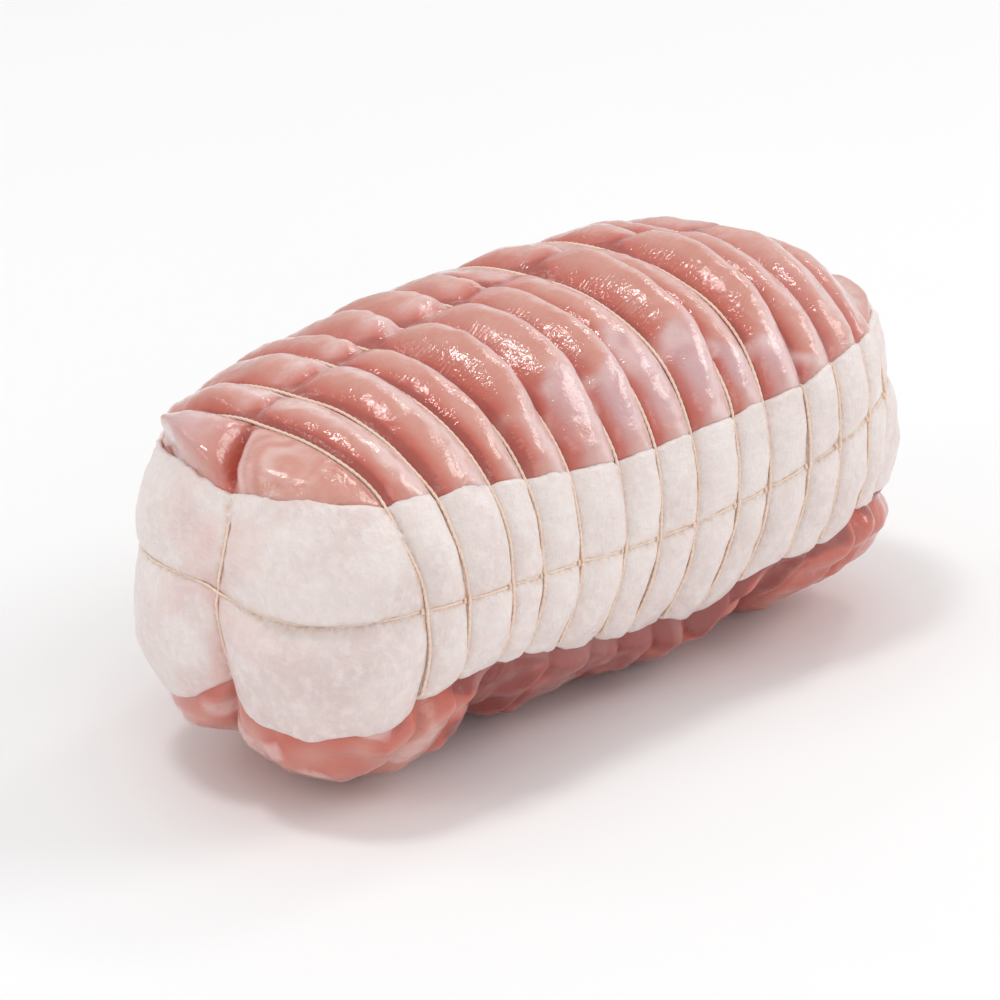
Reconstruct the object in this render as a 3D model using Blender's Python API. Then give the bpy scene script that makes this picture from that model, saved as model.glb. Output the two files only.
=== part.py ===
# Boneless turkey breast roast, raw, rolled and tied with twine, lying on its underside.
# It is a loaf of meat with a belt of pale skin fat round both long sides and both ends.
# Fourteen loops of twine go round the loaf, and two long strings go round it end to end:
# a level one in the middle of the fat and an upright one over the top and under the loaf.
# Units are metres. +X runs along the loaf, the belt's best side faces -Y, and +Z is up.
import bmesh
import bpy
import numpy as np
from mathutils import Matrix, Vector

MM = 0.001

# The smooth loaf that the twine pulls in to.
HALF_LENGTH = 102.0 * MM
HALF_WIDTH = 50.0 * MM
HEIGHT_ABOVE = 43.4 * MM
DEPTH_BELOW = 46.4 * MM
SECTION_ROUNDNESS = 2.35
NEAR_END_WIDTH = (4.8, 2.88)
NEAR_END_HEIGHT = (6.4, 2.10)
NEAR_END_DEPTH = (8.0, 2.5)
FAR_END_WIDTH = (5.3, 1.66)
FAR_END_HEIGHT = (3.0, 3.43)
FAR_END_DEPTH = (4.5, 3.4)
WIDER_AT_FAR_END = 0.093
TALLER_AT_FAR_END = 0.115
DEEPER_AT_FAR_END = 0.030
BOW = 15.1 * MM
LOOP_LEAN_UP = 1.7
LOOP_LEAN_SIDE = 0.8
LOOP_LEAN_SIDE_MIDDLE = -0.04

# Twine: where each loop crosses the axis, and how the strings sit in the meat.
LOOP_PLACES = np.array((-78, -66, -50.5, -40, -26.5, -11, 1.5, 13.5, 27, 37, 49.5, 60.5, 72, 81)) * MM
TWINE_RADIUS = 0.55 * MM
TOUCH_GAP = 0.3 * MM
LOOP_GROOVE = 1.5 * MM
STRING_GROOVE = 0.9 * MM

# Heights along the loaf, as pairs of place and height above the middle plane.
STRING_LINE = np.array(((-101, 3.2), (-73, 1.3), (-36, -1.5), (4, -4), (38, -0.6),
                        (60, 4.6), (80, 10.5), (101, 14))) * MM
FAT_TOP_LINE = np.array(((-101, 26.6), (-80, 26.4), (-65, 25.2), (-50, 23.3), (-37, 20.8), (-9, 18.5),
                         (13, 18.8), (27, 20), (37, 21.2), (49.5, 22.6), (60.5, 24.9), (72, 26.2),
                         (82, 27), (101, 27.5))) * MM
FAT_FOOT_LINE = np.array(((-101, -24), (-80, -22.5), (-71, -19), (-50, -19.5), (-38, -22), (-26, -25),
                          (-10, -27.3), (4, -29.3), (18, -30), (26, -31), (32, -27), (38, -22.5),
                          (50, -22), (62, -20.5), (70, -16.5), (82, -15.5), (101, -14))) * MM
FAT_THICKNESS = 2.2 * MM

# How far the meat and the fat swell out between the strings: one value for each cell underneath.
SWELL_TOP = 4.2 * MM
SWELL_TOP_BACK = 2.0 * MM
SWELL_SIDE = 2.4 * MM
SWELL_UNDER = np.array((6.5, 1.4, 0.8, 1.6, 4, 5.2, 6, 6, 4, 1, 1.2, 3.4, 5.8)) * MM
SWELL_NEAR_END = (4.4 * MM, 2.4 * MM)
SWELL_NEAR_END_LOW = (8.5 * MM, 6.5 * MM)
SWELL_FAR_END = (2.0 * MM, 0.5 * MM)
SWELL_FAR_END_LOW = (6.0 * MM, 6.0 * MM)
SWELL_FULL_CELL = 12.5 * MM
SWELL_CELL_LIMIT = 1.15
SWELL_POWER = 2.4
LONG_GROOVE_WIDTH = 6.0 * MM
LONG_GROOVE_ON_SIDE = 0.6
EDGE_BLEND = 6.0 * MM
FLAT_REST = 2.5 * MM

# The grid that covers the loaf like the squares on a box.
CELL_STATIONS = (0.25, 0.5, 0.75)
NEAR_RING = -86.0 * MM
FAR_RING = 88.0 * MM
TOP_COLUMNS = np.array((-0.60, -0.42, -0.25, -0.10, 0.0, 0.10, 0.25, 0.42, 0.60))
LEDGE = 1.8 * MM
FOOT_ROW = 3
STRING_ROW = 5
FAT_ROW = 7
ROWS = 10
COLUMNS = len(TOP_COLUMNS) - 1
MIDDLE_COLUMN = COLUMNS // 2


def stations():
    """Places along the loaf: both end rings, every loop and three steps between two loops."""
    places = [NEAR_RING, (NEAR_RING + LOOP_PLACES[0]) / 2]
    for start, stop in zip(LOOP_PLACES[:-1], LOOP_PLACES[1:]):
        places.append(start)
        places += [start + step * (stop - start) for step in CELL_STATIONS]
    places += [LOOP_PLACES[-1], (LOOP_PLACES[-1] + FAR_RING) / 2, FAR_RING]
    return np.array(places)


STATIONS = stations()
LAST_STATION = len(STATIONS) - 1


def line_height(line, place):
    """Smooth cubic through the pairs of place and height."""
    places, heights = line[:, 0], line[:, 1]
    slopes = np.gradient(heights, places)
    index = np.clip(np.searchsorted(places, place) - 1, 0, len(places) - 2)
    span = places[index + 1] - places[index]
    t = np.clip((place - places[index]) / span, 0, 1)
    start = (2 * t**3 - 3 * t**2 + 1) * heights[index] + (t**3 - 2 * t**2 + t) * span * slopes[index]
    stop = (3 * t**2 - 2 * t**3) * heights[index + 1] + (t**3 - t**2) * span * slopes[index + 1]
    return start + stop


def end_profile(share, near, far):
    """One in the middle of the loaf, falling to nothing at both ends."""
    power = np.where(share < 0, near[0], far[0])
    root = np.where(share < 0, near[1], far[1])
    return np.maximum(1 - np.abs(share) ** power, 1e-9) ** (1 / root)


def section(place):
    """Half width, height above and depth below the middle plane at a place along the loaf."""
    share = np.clip(place / HALF_LENGTH, -1, 1)
    width = HALF_WIDTH * end_profile(share, NEAR_END_WIDTH, FAR_END_WIDTH) * (1 + WIDER_AT_FAR_END * share)
    above = HEIGHT_ABOVE * end_profile(share, NEAR_END_HEIGHT, FAR_END_HEIGHT)
    above = above * (1 + TALLER_AT_FAR_END * share)
    below = DEPTH_BELOW * end_profile(share, NEAR_END_DEPTH, FAR_END_DEPTH)
    below = below * (1 + DEEPER_AT_FAR_END * share)
    return width, above, below


def bend(place, y, z):
    """Leans each section the way its loop leans and bows the loaf towards -Y at both ends."""
    lean_up = LOOP_LEAN_UP * place * z
    lean_side = (LOOP_LEAN_SIDE * place + LOOP_LEAN_SIDE_MIDDLE) * np.minimum(y, 0)
    bow = BOW * (place / HALF_LENGTH) ** 2
    return np.stack((place + lean_up + lean_side, y - bow, z), -1)


def fill(place, y, z):
    """One on the loaf's surface and less inside it."""
    width, above, below = section(place)
    height = np.where(z > 0, above, below)
    return np.abs(y / width) ** SECTION_ROUNDNESS + np.abs(z / height) ** SECTION_ROUNDNESS


def rest_of_section(share):
    """The other half axis's share where one half axis has the given share."""
    return np.maximum(1 - np.abs(share) ** SECTION_ROUNDNESS, 0) ** (1 / SECTION_ROUNDNESS)


def row_heights(place):
    """Heights of the rows on a long side, from the lower corner to the upper corner."""
    width, above, below = section(place)
    corner = rest_of_section(TOP_COLUMNS[-1])
    low, high = -below * corner, above * corner
    foot = np.maximum(line_height(FAT_FOOT_LINE, place), low + 2 * LEDGE)
    top = np.minimum(line_height(FAT_TOP_LINE, place), high - 2 * LEDGE)
    string = line_height(STRING_LINE, place)
    rows = (low, 0.5 * (low + foot - LEDGE), foot - LEDGE, foot, 0.5 * (foot + string), string,
            0.5 * (string + top), top, top + LEDGE, 0.5 * (high + top + LEDGE), high)
    return np.stack(rows)


def find_end_place(y, z, sign, ring):
    """Place along the loaf where its end cap passes through y and z, by halving."""
    inner = np.full(y.shape, abs(ring))
    outer = np.full(y.shape, HALF_LENGTH)
    for _ in range(40):
        middle = 0.5 * (inner + outer)
        inside = fill(sign * middle, y, z) < 1
        inner = np.where(inside, middle, inner)
        outer = np.where(inside, outer, middle)
    return sign * 0.5 * (inner + outer)


def end_points(column, row, sign):
    """Grid points of an end cap: level rows on the fat, rows bent to the corner curves beyond it."""
    ring = NEAR_RING if sign < 0 else FAR_RING
    place = np.full(row.shape, ring)
    width, above, below = section(place)
    heights = row_heights(place)
    height = np.take_along_axis(heights, row[None], 0)[0]
    across = rest_of_section(TOP_COLUMNS[column])
    upper = np.clip((height - heights[FAT_ROW]) / (heights[ROWS] - heights[FAT_ROW]), 0, 1)
    lower = np.clip((height - heights[FOOT_ROW]) / (heights[0] - heights[FOOT_ROW]), 0, 1)
    z = height + upper * (above * across - heights[ROWS]) + lower * (-below * across - heights[0])
    reach = width * rest_of_section(height / np.where(height > 0, above, below))
    y = TOP_COLUMNS[column] / TOP_COLUMNS[-1] * reach
    return find_end_place(y, z, sign, ring), y, z


def grid_points(steps):
    """Section coordinates of grid points, given as whole steps along, across and up the box."""
    station, column, row = steps.T
    place = STATIONS[station]
    width, above, below = section(place)
    z = np.take_along_axis(row_heights(place), row[None], 0)[0]
    y = np.sign(column - MIDDLE_COLUMN) * width * rest_of_section(z / np.where(z > 0, above, below))
    on_top = (row == ROWS) | (row == 0)
    y = np.where(on_top, TOP_COLUMNS[column] * width, y)
    across = rest_of_section(TOP_COLUMNS[column])
    z = np.where(on_top, np.where(row == ROWS, above, -below) * across, z)
    for end_station, sign in ((0, -1), (LAST_STATION, 1)):
        at_end = station == end_station
        place[at_end], y[at_end], z[at_end] = end_points(column[at_end], row[at_end], sign)
    return place, y, z


def smooth_step(value):
    """Cubic that eases from 0 to 1 while the value goes from 0 to 1."""
    t = np.clip(value, 0, 1)
    return t * t * (3 - 2 * t)


def cushion(place):
    """Nothing at a loop and one in the middle between two loops, with the cell's width and number."""
    index = np.clip(np.searchsorted(LOOP_PLACES, place, side="right") - 1, 0, len(LOOP_PLACES) - 2)
    cell = LOOP_PLACES[index + 1] - LOOP_PLACES[index]
    share = (place - LOOP_PLACES[index]) / cell
    swell = 1 - np.abs(2 * np.clip(share, 0, 1) - 1) ** SWELL_POWER
    near = (LOOP_PLACES[0] - place) / (HALF_LENGTH + LOOP_PLACES[0])
    far = (place - LOOP_PLACES[-1]) / (HALF_LENGTH - LOOP_PLACES[-1])
    past_end = np.clip(np.maximum(near, far), 0, 1)
    swell = np.where(past_end > 0, 1 - (1 - past_end) ** SWELL_POWER, swell)
    return swell, cell, index, near > 0, far > 0


def end_size(upper, lower, low, to_back):
    """Size of an end's swell from the front and back sizes above and below the level string."""
    front = upper[0] + (lower[0] - upper[0]) * low
    back = upper[1] + (lower[1] - upper[1]) * low
    return front + (back - front) * to_back


def swell_height(place, y, z):
    """Height of the swell in each cell: one size each for top, sides, underside and both ends."""
    swell, cell, index, near_end, far_end = cushion(place)
    between_rings = np.clip(place, NEAR_RING, FAR_RING)
    above_fat = smooth_step((z - line_height(FAT_TOP_LINE, between_rings)) / EDGE_BLEND + 0.5)
    below_fat = smooth_step((line_height(FAT_FOOT_LINE, between_rings) - z) / EDGE_BLEND + 0.5)
    to_back = smooth_step(0.5 + y / HALF_WIDTH)
    top = SWELL_TOP + (SWELL_TOP_BACK - SWELL_TOP) * to_back
    size = SWELL_SIDE + (top - SWELL_SIDE) * above_fat + (SWELL_UNDER[index] - SWELL_SIDE) * below_fat
    size = size * np.clip(cell / SWELL_FULL_CELL, 0, SWELL_CELL_LIMIT)
    over_string = z - line_height(STRING_LINE, between_rings)
    low = smooth_step(0.5 - over_string / (2 * LONG_GROOVE_WIDTH))
    near_size = end_size(SWELL_NEAR_END, SWELL_NEAR_END_LOW, low, to_back)
    far_size = end_size(SWELL_FAR_END, SWELL_FAR_END_LOW, low, to_back)
    size = np.where(near_end, near_size, np.where(far_end, far_size, size))
    at_end = near_end | far_end
    middle = np.exp(-np.abs(y) / LONG_GROOVE_WIDTH) * np.maximum(np.maximum(above_fat, below_fat), at_end)
    on_side = np.abs(y) > 0.5 * TOP_COLUMNS[-1] * HALF_WIDTH
    level = np.exp(-np.abs(over_string) / LONG_GROOVE_WIDTH)
    level = level * np.where(at_end, 1.0, LONG_GROOVE_ON_SIDE * on_side)
    return size * swell * (1 - middle) * (1 - level)


def groove_depth(place, y, z):
    """Depth of the groove under the twine: deepest at the loops and where both long strings cross."""
    string = line_height(STRING_LINE, np.clip(place, NEAR_RING, FAR_RING))
    at_loop = np.abs(place[:, None] - LOOP_PLACES[None, :]).min(1) < LEDGE / 2
    at_middle = np.abs(y) < LEDGE / 2
    at_string = np.abs(z - string) < LEDGE / 2
    groove = LOOP_GROOVE * at_loop + STRING_GROOVE * at_middle + STRING_GROOVE * at_string
    return groove + (LOOP_GROOVE - STRING_GROOVE) * (at_middle & at_string)


def outward(place, y, z):
    """Unit normal of the smooth, bent loaf."""
    step = 0.01 * MM
    inside = np.clip(place, -HALF_LENGTH + 2 * step, HALF_LENGTH - 2 * step)
    along = fill(inside + step, y, z) - fill(inside - step, y, z)
    across = fill(inside, y + step, z) - fill(inside, y - step, z)
    up = fill(inside, y, z + step) - fill(inside, y, z - step)
    slope = np.stack((along, across, up), -1)
    at_pole = fill(inside, y, z) < 0.02
    slope[at_pole] = np.stack((np.sign(place[at_pole]), 0 * y[at_pole], 0 * z[at_pole]), -1)
    turn = np.zeros(place.shape + (3, 3))
    for axis, (dx, dy, dz) in enumerate(step * np.eye(3)):
        change = bend(place + dx, y + dy, z + dz) - bend(place - dx, y - dy, z - dz)
        turn[:, axis, :] = change / (2 * step)
    normal = np.linalg.solve(turn, slope[..., None])[..., 0]
    return normal / np.linalg.norm(normal, axis=-1, keepdims=True)


def gridded_box(counts):
    """A box cut by a plane at every whole step, as a bmesh."""
    box = bmesh.new()
    size = Vector(counts)
    bmesh.ops.create_cube(box, size=1.0, matrix=Matrix.Translation(size / 2) @ Matrix.Diagonal(size).to_4x4())
    for axis, count in enumerate(counts):
        across = Vector((0, 0, 0))
        across[axis] = 1
        for step in range(1, count):
            pieces = box.verts[:] + box.edges[:] + box.faces[:]
            bmesh.ops.bisect_plane(box, geom=pieces, dist=1e-5, plane_co=across * step, plane_no=across)
    return box


def steps_of(mesh):
    return [tuple(round(value) for value in vertex.co) for vertex in mesh.verts]


def shape_of_skin():
    """Loaf point, skin point and outward normal for each grid step of the box's surface."""
    box = gridded_box((LAST_STATION, COLUMNS, ROWS))
    steps = steps_of(box)
    box.free()
    place, y, z = grid_points(np.array(steps))
    loaf = bend(place, y, z)
    normal = outward(place, y, z)
    relief = swell_height(place, y, z) - groove_depth(place, y, z)
    skin = loaf + normal * relief[:, None]
    floor = skin[:, 2].min() + FLAT_REST
    skin[:, 2] = np.maximum(skin[:, 2], floor)
    middle = 0.5 * (skin.min(0) + skin.max(0))
    origin = np.array((middle[0], middle[1], floor))
    return {step: (loaf[n] - origin, skin[n] - origin, normal[n]) for n, step in enumerate(steps)}


def is_on_belt(step):
    station, column, row = step
    on_side = column in (0, COLUMNS) or station in (0, LAST_STATION)
    return on_side and FOOT_ROW <= row <= FAT_ROW


def material(name, colour, roughness):
    made = bpy.data.materials.new(name)
    made.use_nodes = True
    shader = made.node_tree.nodes["Principled BSDF"]
    shader.inputs["Base Color"].default_value = (*colour, 1.0)
    shader.inputs["Roughness"].default_value = roughness
    shader.inputs["Metallic"].default_value = 0.0
    return made


def mesh_object(name, mesh, collection, finish):
    bmesh.ops.recalc_face_normals(mesh, faces=mesh.faces)
    data = bpy.data.meshes.new(name)
    mesh.to_mesh(data)
    mesh.free()
    data.shade_smooth()
    data.materials.append(finish)
    made = bpy.data.objects.new(name, data)
    collection.objects.link(made)
    return made


def meat(skin, collection):
    """The gridded box moved onto the skin, and let in under the belt of fat."""
    box = gridded_box((LAST_STATION, COLUMNS, ROWS))
    for vertex, step in zip(box.verts, steps_of(box)):
        loaf_point, skin_point, normal = skin[step]
        depth = FAT_THICKNESS + TOUCH_GAP if is_on_belt(step) else 0.0
        vertex.co = Vector(skin_point - normal * depth)
    return mesh_object("turkey_meat", box, collection, material("raw meat", (0.62, 0.24, 0.18), 0.35))


def fat_belt(skin, collection):
    """The belt's squares of the gridded box, given their thickness inwards."""
    box = gridded_box((LAST_STATION, COLUMNS, ROWS))
    steps = dict(zip(box.verts, steps_of(box)))
    spare = [face for face in box.faces if not all(is_on_belt(steps[vertex]) for vertex in face.verts)]
    bmesh.ops.delete(box, geom=spare, context="FACES")
    outer = {tuple(round(value) for value in vertex.co): vertex for vertex in box.verts}
    made = bmesh.ops.extrude_face_region(box, geom=box.faces[:], use_keep_orig=True)
    inner = [item for item in made["geom"] if isinstance(item, bmesh.types.BMVert)]
    for vertex in inner:
        loaf_point, skin_point, normal = skin[tuple(round(value) for value in vertex.co)]
        vertex.co = Vector(skin_point - normal * FAT_THICKNESS)
    for step, vertex in outer.items():
        vertex.co = Vector(skin[step][1])
    return mesh_object("fat_band", box, collection, material("skin fat", (0.84, 0.74, 0.70), 0.5))


def twine(name, points, collection, finish):
    """A closed ring of twine through the points."""
    curve = bpy.data.curves.new(name, "CURVE")
    curve.dimensions = "3D"
    curve.bevel_depth = TWINE_RADIUS
    curve.bevel_resolution = 0
    curve.use_fill_caps = True
    spline = curve.splines.new("POLY")
    spline.points.add(len(points) - 1)
    for point, place in zip(spline.points, points):
        point.co = (*place, 1.0)
    spline.use_cyclic_u = True
    curve.materials.append(finish)
    made = bpy.data.objects.new(name, curve)
    collection.objects.link(made)
    return made


def loop_steps(station):
    """Grid steps round the loaf at one station, without the ledge rows beside the fat."""
    rows = [row for row in range(ROWS + 1) if row not in (FOOT_ROW - 1, FAT_ROW + 1)]
    up = [(station, 0, row) for row in rows]
    over = [(station, column, ROWS) for column in range(1, COLUMNS)]
    down = [(station, COLUMNS, row) for row in reversed(rows)]
    under = [(station, column, 0) for column in range(COLUMNS - 1, 0, -1)]
    return up + over + down + under


def level_steps():
    """Grid steps round the belt at the string's row."""
    front = [(station, 0, STRING_ROW) for station in range(LAST_STATION + 1)]
    far = [(LAST_STATION, column, STRING_ROW) for column in range(1, COLUMNS)]
    back = [(station, COLUMNS, STRING_ROW) for station in range(LAST_STATION, -1, -1)]
    near = [(0, column, STRING_ROW) for column in range(COLUMNS - 1, 0, -1)]
    return front + far + back + near


def upright_steps():
    """Grid steps over the top, down the far end, along the underside and up the near end."""
    over = [(station, MIDDLE_COLUMN, ROWS) for station in range(LAST_STATION + 1)]
    far = [(LAST_STATION, MIDDLE_COLUMN, row) for row in range(ROWS - 1, 0, -1)]
    under = [(station, MIDDLE_COLUMN, 0) for station in range(LAST_STATION, -1, -1)]
    near = [(0, MIDDLE_COLUMN, row) for row in range(1, ROWS)]
    return over + far + under + near


def all_twine(skin, collection):
    finish = material("twine", (0.72, 0.55, 0.36), 0.8)
    lift = TWINE_RADIUS + TOUCH_GAP
    for number in range(len(LOOP_PLACES)):
        station = 2 + number * (len(CELL_STATIONS) + 1)
        points = [skin[step][0] for step in loop_steps(station)]
        twine(f"twine_loop_{number + 1:02d}", points, collection, finish)
    poles = ((0, MIDDLE_COLUMN, STRING_ROW), (LAST_STATION, MIDDLE_COLUMN, STRING_ROW))
    level = [
        skin[step][0] if step in poles else skin[step][1] + lift * skin[step][2]
        for step in level_steps()
    ]
    twine("twine_level", level, collection, finish)
    upright = [skin[step][1] + lift * skin[step][2] for step in upright_steps()]
    twine("twine_upright", upright, collection, finish)


def main():
    for leftover in list(bpy.data.objects):
        bpy.data.objects.remove(leftover, do_unlink=True)
    collection = bpy.data.collections.new("turkey_breast_roast")
    bpy.context.scene.collection.children.link(collection)
    skin = shape_of_skin()
    meat(skin, collection)
    fat_belt(skin, collection)
    all_twine(skin, collection)


if __name__ == "__main__":
    main()
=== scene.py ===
"""Raw turkey breast roast, rolled, belted with pale skin fat and tied with twine: its looks."""

import math
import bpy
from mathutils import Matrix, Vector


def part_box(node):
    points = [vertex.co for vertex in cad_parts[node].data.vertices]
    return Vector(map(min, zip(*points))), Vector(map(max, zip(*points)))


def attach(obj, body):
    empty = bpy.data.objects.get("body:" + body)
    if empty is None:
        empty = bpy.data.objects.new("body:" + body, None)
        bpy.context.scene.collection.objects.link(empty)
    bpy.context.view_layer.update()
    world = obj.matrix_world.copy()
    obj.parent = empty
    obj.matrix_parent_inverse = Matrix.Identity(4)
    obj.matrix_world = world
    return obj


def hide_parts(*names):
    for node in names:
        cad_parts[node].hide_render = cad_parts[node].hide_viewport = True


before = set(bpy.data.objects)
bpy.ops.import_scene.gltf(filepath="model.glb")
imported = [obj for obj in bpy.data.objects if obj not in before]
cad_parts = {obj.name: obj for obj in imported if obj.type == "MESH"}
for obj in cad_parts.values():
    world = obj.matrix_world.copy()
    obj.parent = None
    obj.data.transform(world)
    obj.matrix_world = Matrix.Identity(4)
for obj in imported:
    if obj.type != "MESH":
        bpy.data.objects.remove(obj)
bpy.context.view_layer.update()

from types import SimpleNamespace

import bpy
import numpy as np
from bpy.props import FloatProperty, FloatVectorProperty, PointerProperty
from mathutils import Matrix, Vector

bl_info = {
    "name": "Tied turkey breast roast",
    "version": (1, 0, 0),
    "blender": (4, 5, 0),
    "location": "3D View > Sidebar > Roast",
    "description": "Meat, fat belt and twine of a rolled and tied turkey breast roast",
    "category": "Add Mesh",
}

MM = 0.001

# The smooth loaf that the twine pulls in to, as the solids have it.
HALF_LENGTH = 102.0 * MM
HALF_WIDTH = 50.0 * MM
HEIGHT_ABOVE = 43.4 * MM
DEPTH_BELOW = 46.4 * MM
SECTION_ROUNDNESS = 2.35
NEAR_END_WIDTH = (4.8, 2.88)
NEAR_END_HEIGHT = (6.4, 2.10)
NEAR_END_DEPTH = (8.0, 2.5)
FAR_END_WIDTH = (5.3, 1.66)
FAR_END_HEIGHT = (3.0, 3.43)
FAR_END_DEPTH = (4.5, 3.4)
WIDER_AT_FAR_END = 0.093
TALLER_AT_FAR_END = 0.115
DEEPER_AT_FAR_END = 0.030
BOW = 15.1 * MM
LOOP_LEAN_UP = 1.7
LOOP_LEAN_SIDE = 0.8
LOOP_LEAN_SIDE_MIDDLE = -0.04
LOOP_LEAN_LOW = np.array((
    (-101, 0), (-89, 0), (-78, 2.6), (-66, 4), (-50, 5.6), (-26, 5), (-11, 3.2), (1.5, 4.2), (13.5, 2.8),
    (27, 3.8), (40, 3), (60, 1.5), (80, 0), (101, 0))) * MM
NEAR_RING = -86.0 * MM
FAR_RING = 88.0 * MM

# Places of the loops, and heights along the loaf as pairs of place and height.
LOOP_PLACES = np.array((-78, -66, -50.5, -40, -26.5, -11, 1.5, 13.5, 27, 37, 49.5, 60.5, 72, 81)) * MM
STRING_LINE = np.array((
    (-101, 3.2), (-73, 1.3), (-36, -1.5), (4, -4), (38, -0.6), (60, 4.6), (80, 10.5), (101, 14))) * MM
FAT_TOP_LINE = np.array((
    (-101, 25.3), (-80, 25.1), (-65, 24.0), (-50, 22.7), (-37, 20.4), (-9, 17.5), (13, 17.9),
    (27, 18.9), (37, 19.9), (49.5, 20.9), (60.5, 23.4), (72, 24.6), (82, 25.4), (101, 26.4))) * MM
FAT_FOOT_LINE = np.array((
    (-101, -22), (-79, -21.5), (-67, -19), (-45, -19.5), (-33, -22), (-22, -25), (-7, -27.3),
    (8, -29.3), (21, -30), (29, -31), (35, -27), (41, -22.5), (53, -22), (64, -20.5), (71, -16.5),
    (82, -15.5), (101, -14))) * MM
TOP_GROOVE_LINE = np.array(((-101, 3), (-84, 3), (-52, 0.8), (-28, 0.4), (10, 2.4), (40, 2), (101, 0))) * MM
NEAR_END_GROOVE_LINE = np.array((
    (-50, 7), (-38, 5), (-20, 0.6), (0, 0.6), (24, -2.5), (37, 3), (50, 3))) * MM

# How far the meat and the fat swell out between the strings, cell by cell from the near end.
TOP_SWELL = 4.9 * MM
TOP_SWELL_MIDDLE = 3.4 * MM
FLANK_SWELL = 2.7 * MM
TOP_SWELL_BACK = np.array((10.0, 1.4, 2.0, 0.4, 0.7, 0.6, 1.4, -0.6, -0.2, -0.3, 2.2, 2.0, 1.2)) * MM
BACK_SHOULDER = 2.0 * MM
LOBE_SIZE = np.array((0.9, 0.95, 0.95, 1.2, 1.05, 1.0, 0.75, 1.1, 0.75, 1.1, 0.9, 0.85, 0.45))
LOBE_OVERHANG = np.array((0.15, 0.6, 1.0, 1.0, 1.0, 0.9, 0.1, 1.0, 0.1, 0.9, 0.2, 0.8, 0.8))
LOBE_LEAN = 0.35
PUCKERED = np.array((0.1, 0.15, 0.3, 0.6, 0.9, 1.0, 0.7, 0.8, 0.4, 0.6, 0.7, 0.9, 0.3))
PAD_SIZE = np.array((0.5, 0.7, 0.8, 0.6, 0.5, 0.4, 0.2, 0.3, 0, 0, 0, 0, 0))
SIDE_SWELL = 2.4 * MM
UNDER_LINE = np.array((
    (-101, 6.4), (-83, 5.8), (-68, 4.4), (-58, 1.6), (-52, -2.4), (-45, -5.2), (-40, -4.4), (-34, -1),
    (-27, 2.8), (-16, 3.2), (3, 3.6), (23, 5.6), (29, 4.8), (35, 3.6), (41, 2.2), (47, -1), (53, -2.8),
    (62, 1), (71, 4.2), (82, 4.6), (101, 6))) * MM
FULL_CELL = 12.5 * MM
CELL_LIMIT = 1.15
LONG_GROOVE_WIDTH = 6.0 * MM
CLEFT_DEPTH = 3.4 * MM

# Swells past the end loops, each for the front and for the back.
NEAR_END_SWELL = (4.4 * MM, 0.2 * MM)
NEAR_END_LOBE = (4.4 * MM, 8.6 * MM)
NEAR_END_LOBE_POWER = 5.0
NEAR_END_SWELL_LOW = (8.5 * MM, 4.6 * MM)
NEAR_END_UNDER = (8.3 * MM, 7.4 * MM)
FAR_END_SWELL = (1.3 * MM, -0.6 * MM)
FAR_END_LOBE = (4.6 * MM, 1.4 * MM)
FAR_END_LOBE_TOP = (-4.0 * MM, -4.0 * MM)
FAR_TOP_DROP = 4.8 * MM
FAR_END_SWELL_LOW = (6.2 * MM, 5.8 * MM)
FAR_END_UNDER = (10.2 * MM, 7.0 * MM)
END_POWER = 2.4

# How the strings and the belt's edges rise across the near end, as pairs of side and height.
NEAR_END_LEVEL_RISE = np.array((
    (-50, 0), (-38, -0.6), (-28, -1.1), (-16, -1), (-6, 0.7), (1, 2.8), (8, 3.3), (16, 2.9),
    (28, 1.4), (40, 0), (50, 0))) * MM
NEAR_END_TOP_RISE = np.array((
    (-50, 0), (-40, 0.2), (-28, 0.8), (-16, 0.9), (-4, 0.9), (4, 1.1), (12, 1.7), (20, 2.2),
    (28, 2.8), (50, 2.6))) * MM
NEAR_END_FOOT_RISE = np.array((
    (-50, 0), (-18, 0), (-6, 0.4), (1, 3.8), (6, 2.2), (12, -1.2), (20, -3.5), (30, -6),
    (42, -7.5), (50, -7.5))) * MM
BACK_CORNER_DROP = 3.0 * MM
SILVERSKIN_REACH = np.array((
    (-50, 7), (-26, 14), (-11, 17), (1, 18), (13, 17.5), (27, 15.5), (37, 11), (49.5, 7.5),
    (60.5, 2), (72, -4))) * MM
LOBE_RISE = (5.0 * MM, 20.0 * MM)
EDGE_RISE = 3.6 * MM
EDGE_SOFTNESS = 1.5 * MM
COVER_GAP = 0.2 * MM
LIP_STEP = 0.5 * MM
REST_ROUNDING = 0.8 * MM

# Beds and depths of the strings.
STRING_BED = 0.5 * MM
LOOP_BED_WIDTH = 0.9 * MM
LEVEL_BED_WIDTH = 0.8 * MM
CROSSING_WIDTH = 1.6 * MM
SUNK_UNDER = 2.4 * MM
SUNK_LOOPS = np.array((0, 0, 0, 0, 0, 0, 0, 0, 0, 0, 1.1, 1.3, 1.8, 4.0)) * MM
SUNK_LOOPS_OVER_TOP = np.array((0, 0, 0, 0, 0, 0, 0, 0, 0, 0, 1.1, 0, 1.8, 4.0)) * MM
PLY_REACH = 0.13
PLY_RADIUS = 0.38
PLY_SIDES = 7
LONG_STRING_THICKNESS = 0.85
LEVEL_STRING_PITCH = 1.8
WRAP_RADIUS = 0.75 * MM
WRAP_TUBE = 0.42 * MM
WRAP_STEPS = 20
WRAP_SIZE = 0.95
BIG_WRAP = 7
BIG_WRAP_SIZE = 1.25

# Grids of the meat, of the belt and of the loops.
CELL_STEPS = 18
CAP_STEPS = 46
SPOKES = 296
LOOP_STEPS = 560
BELT_END_STEPS = 101
HIDDEN_BAND = (-12.0 * MM, 15.0 * MM)
HIDDEN_WEIGHT = 0.25

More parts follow.
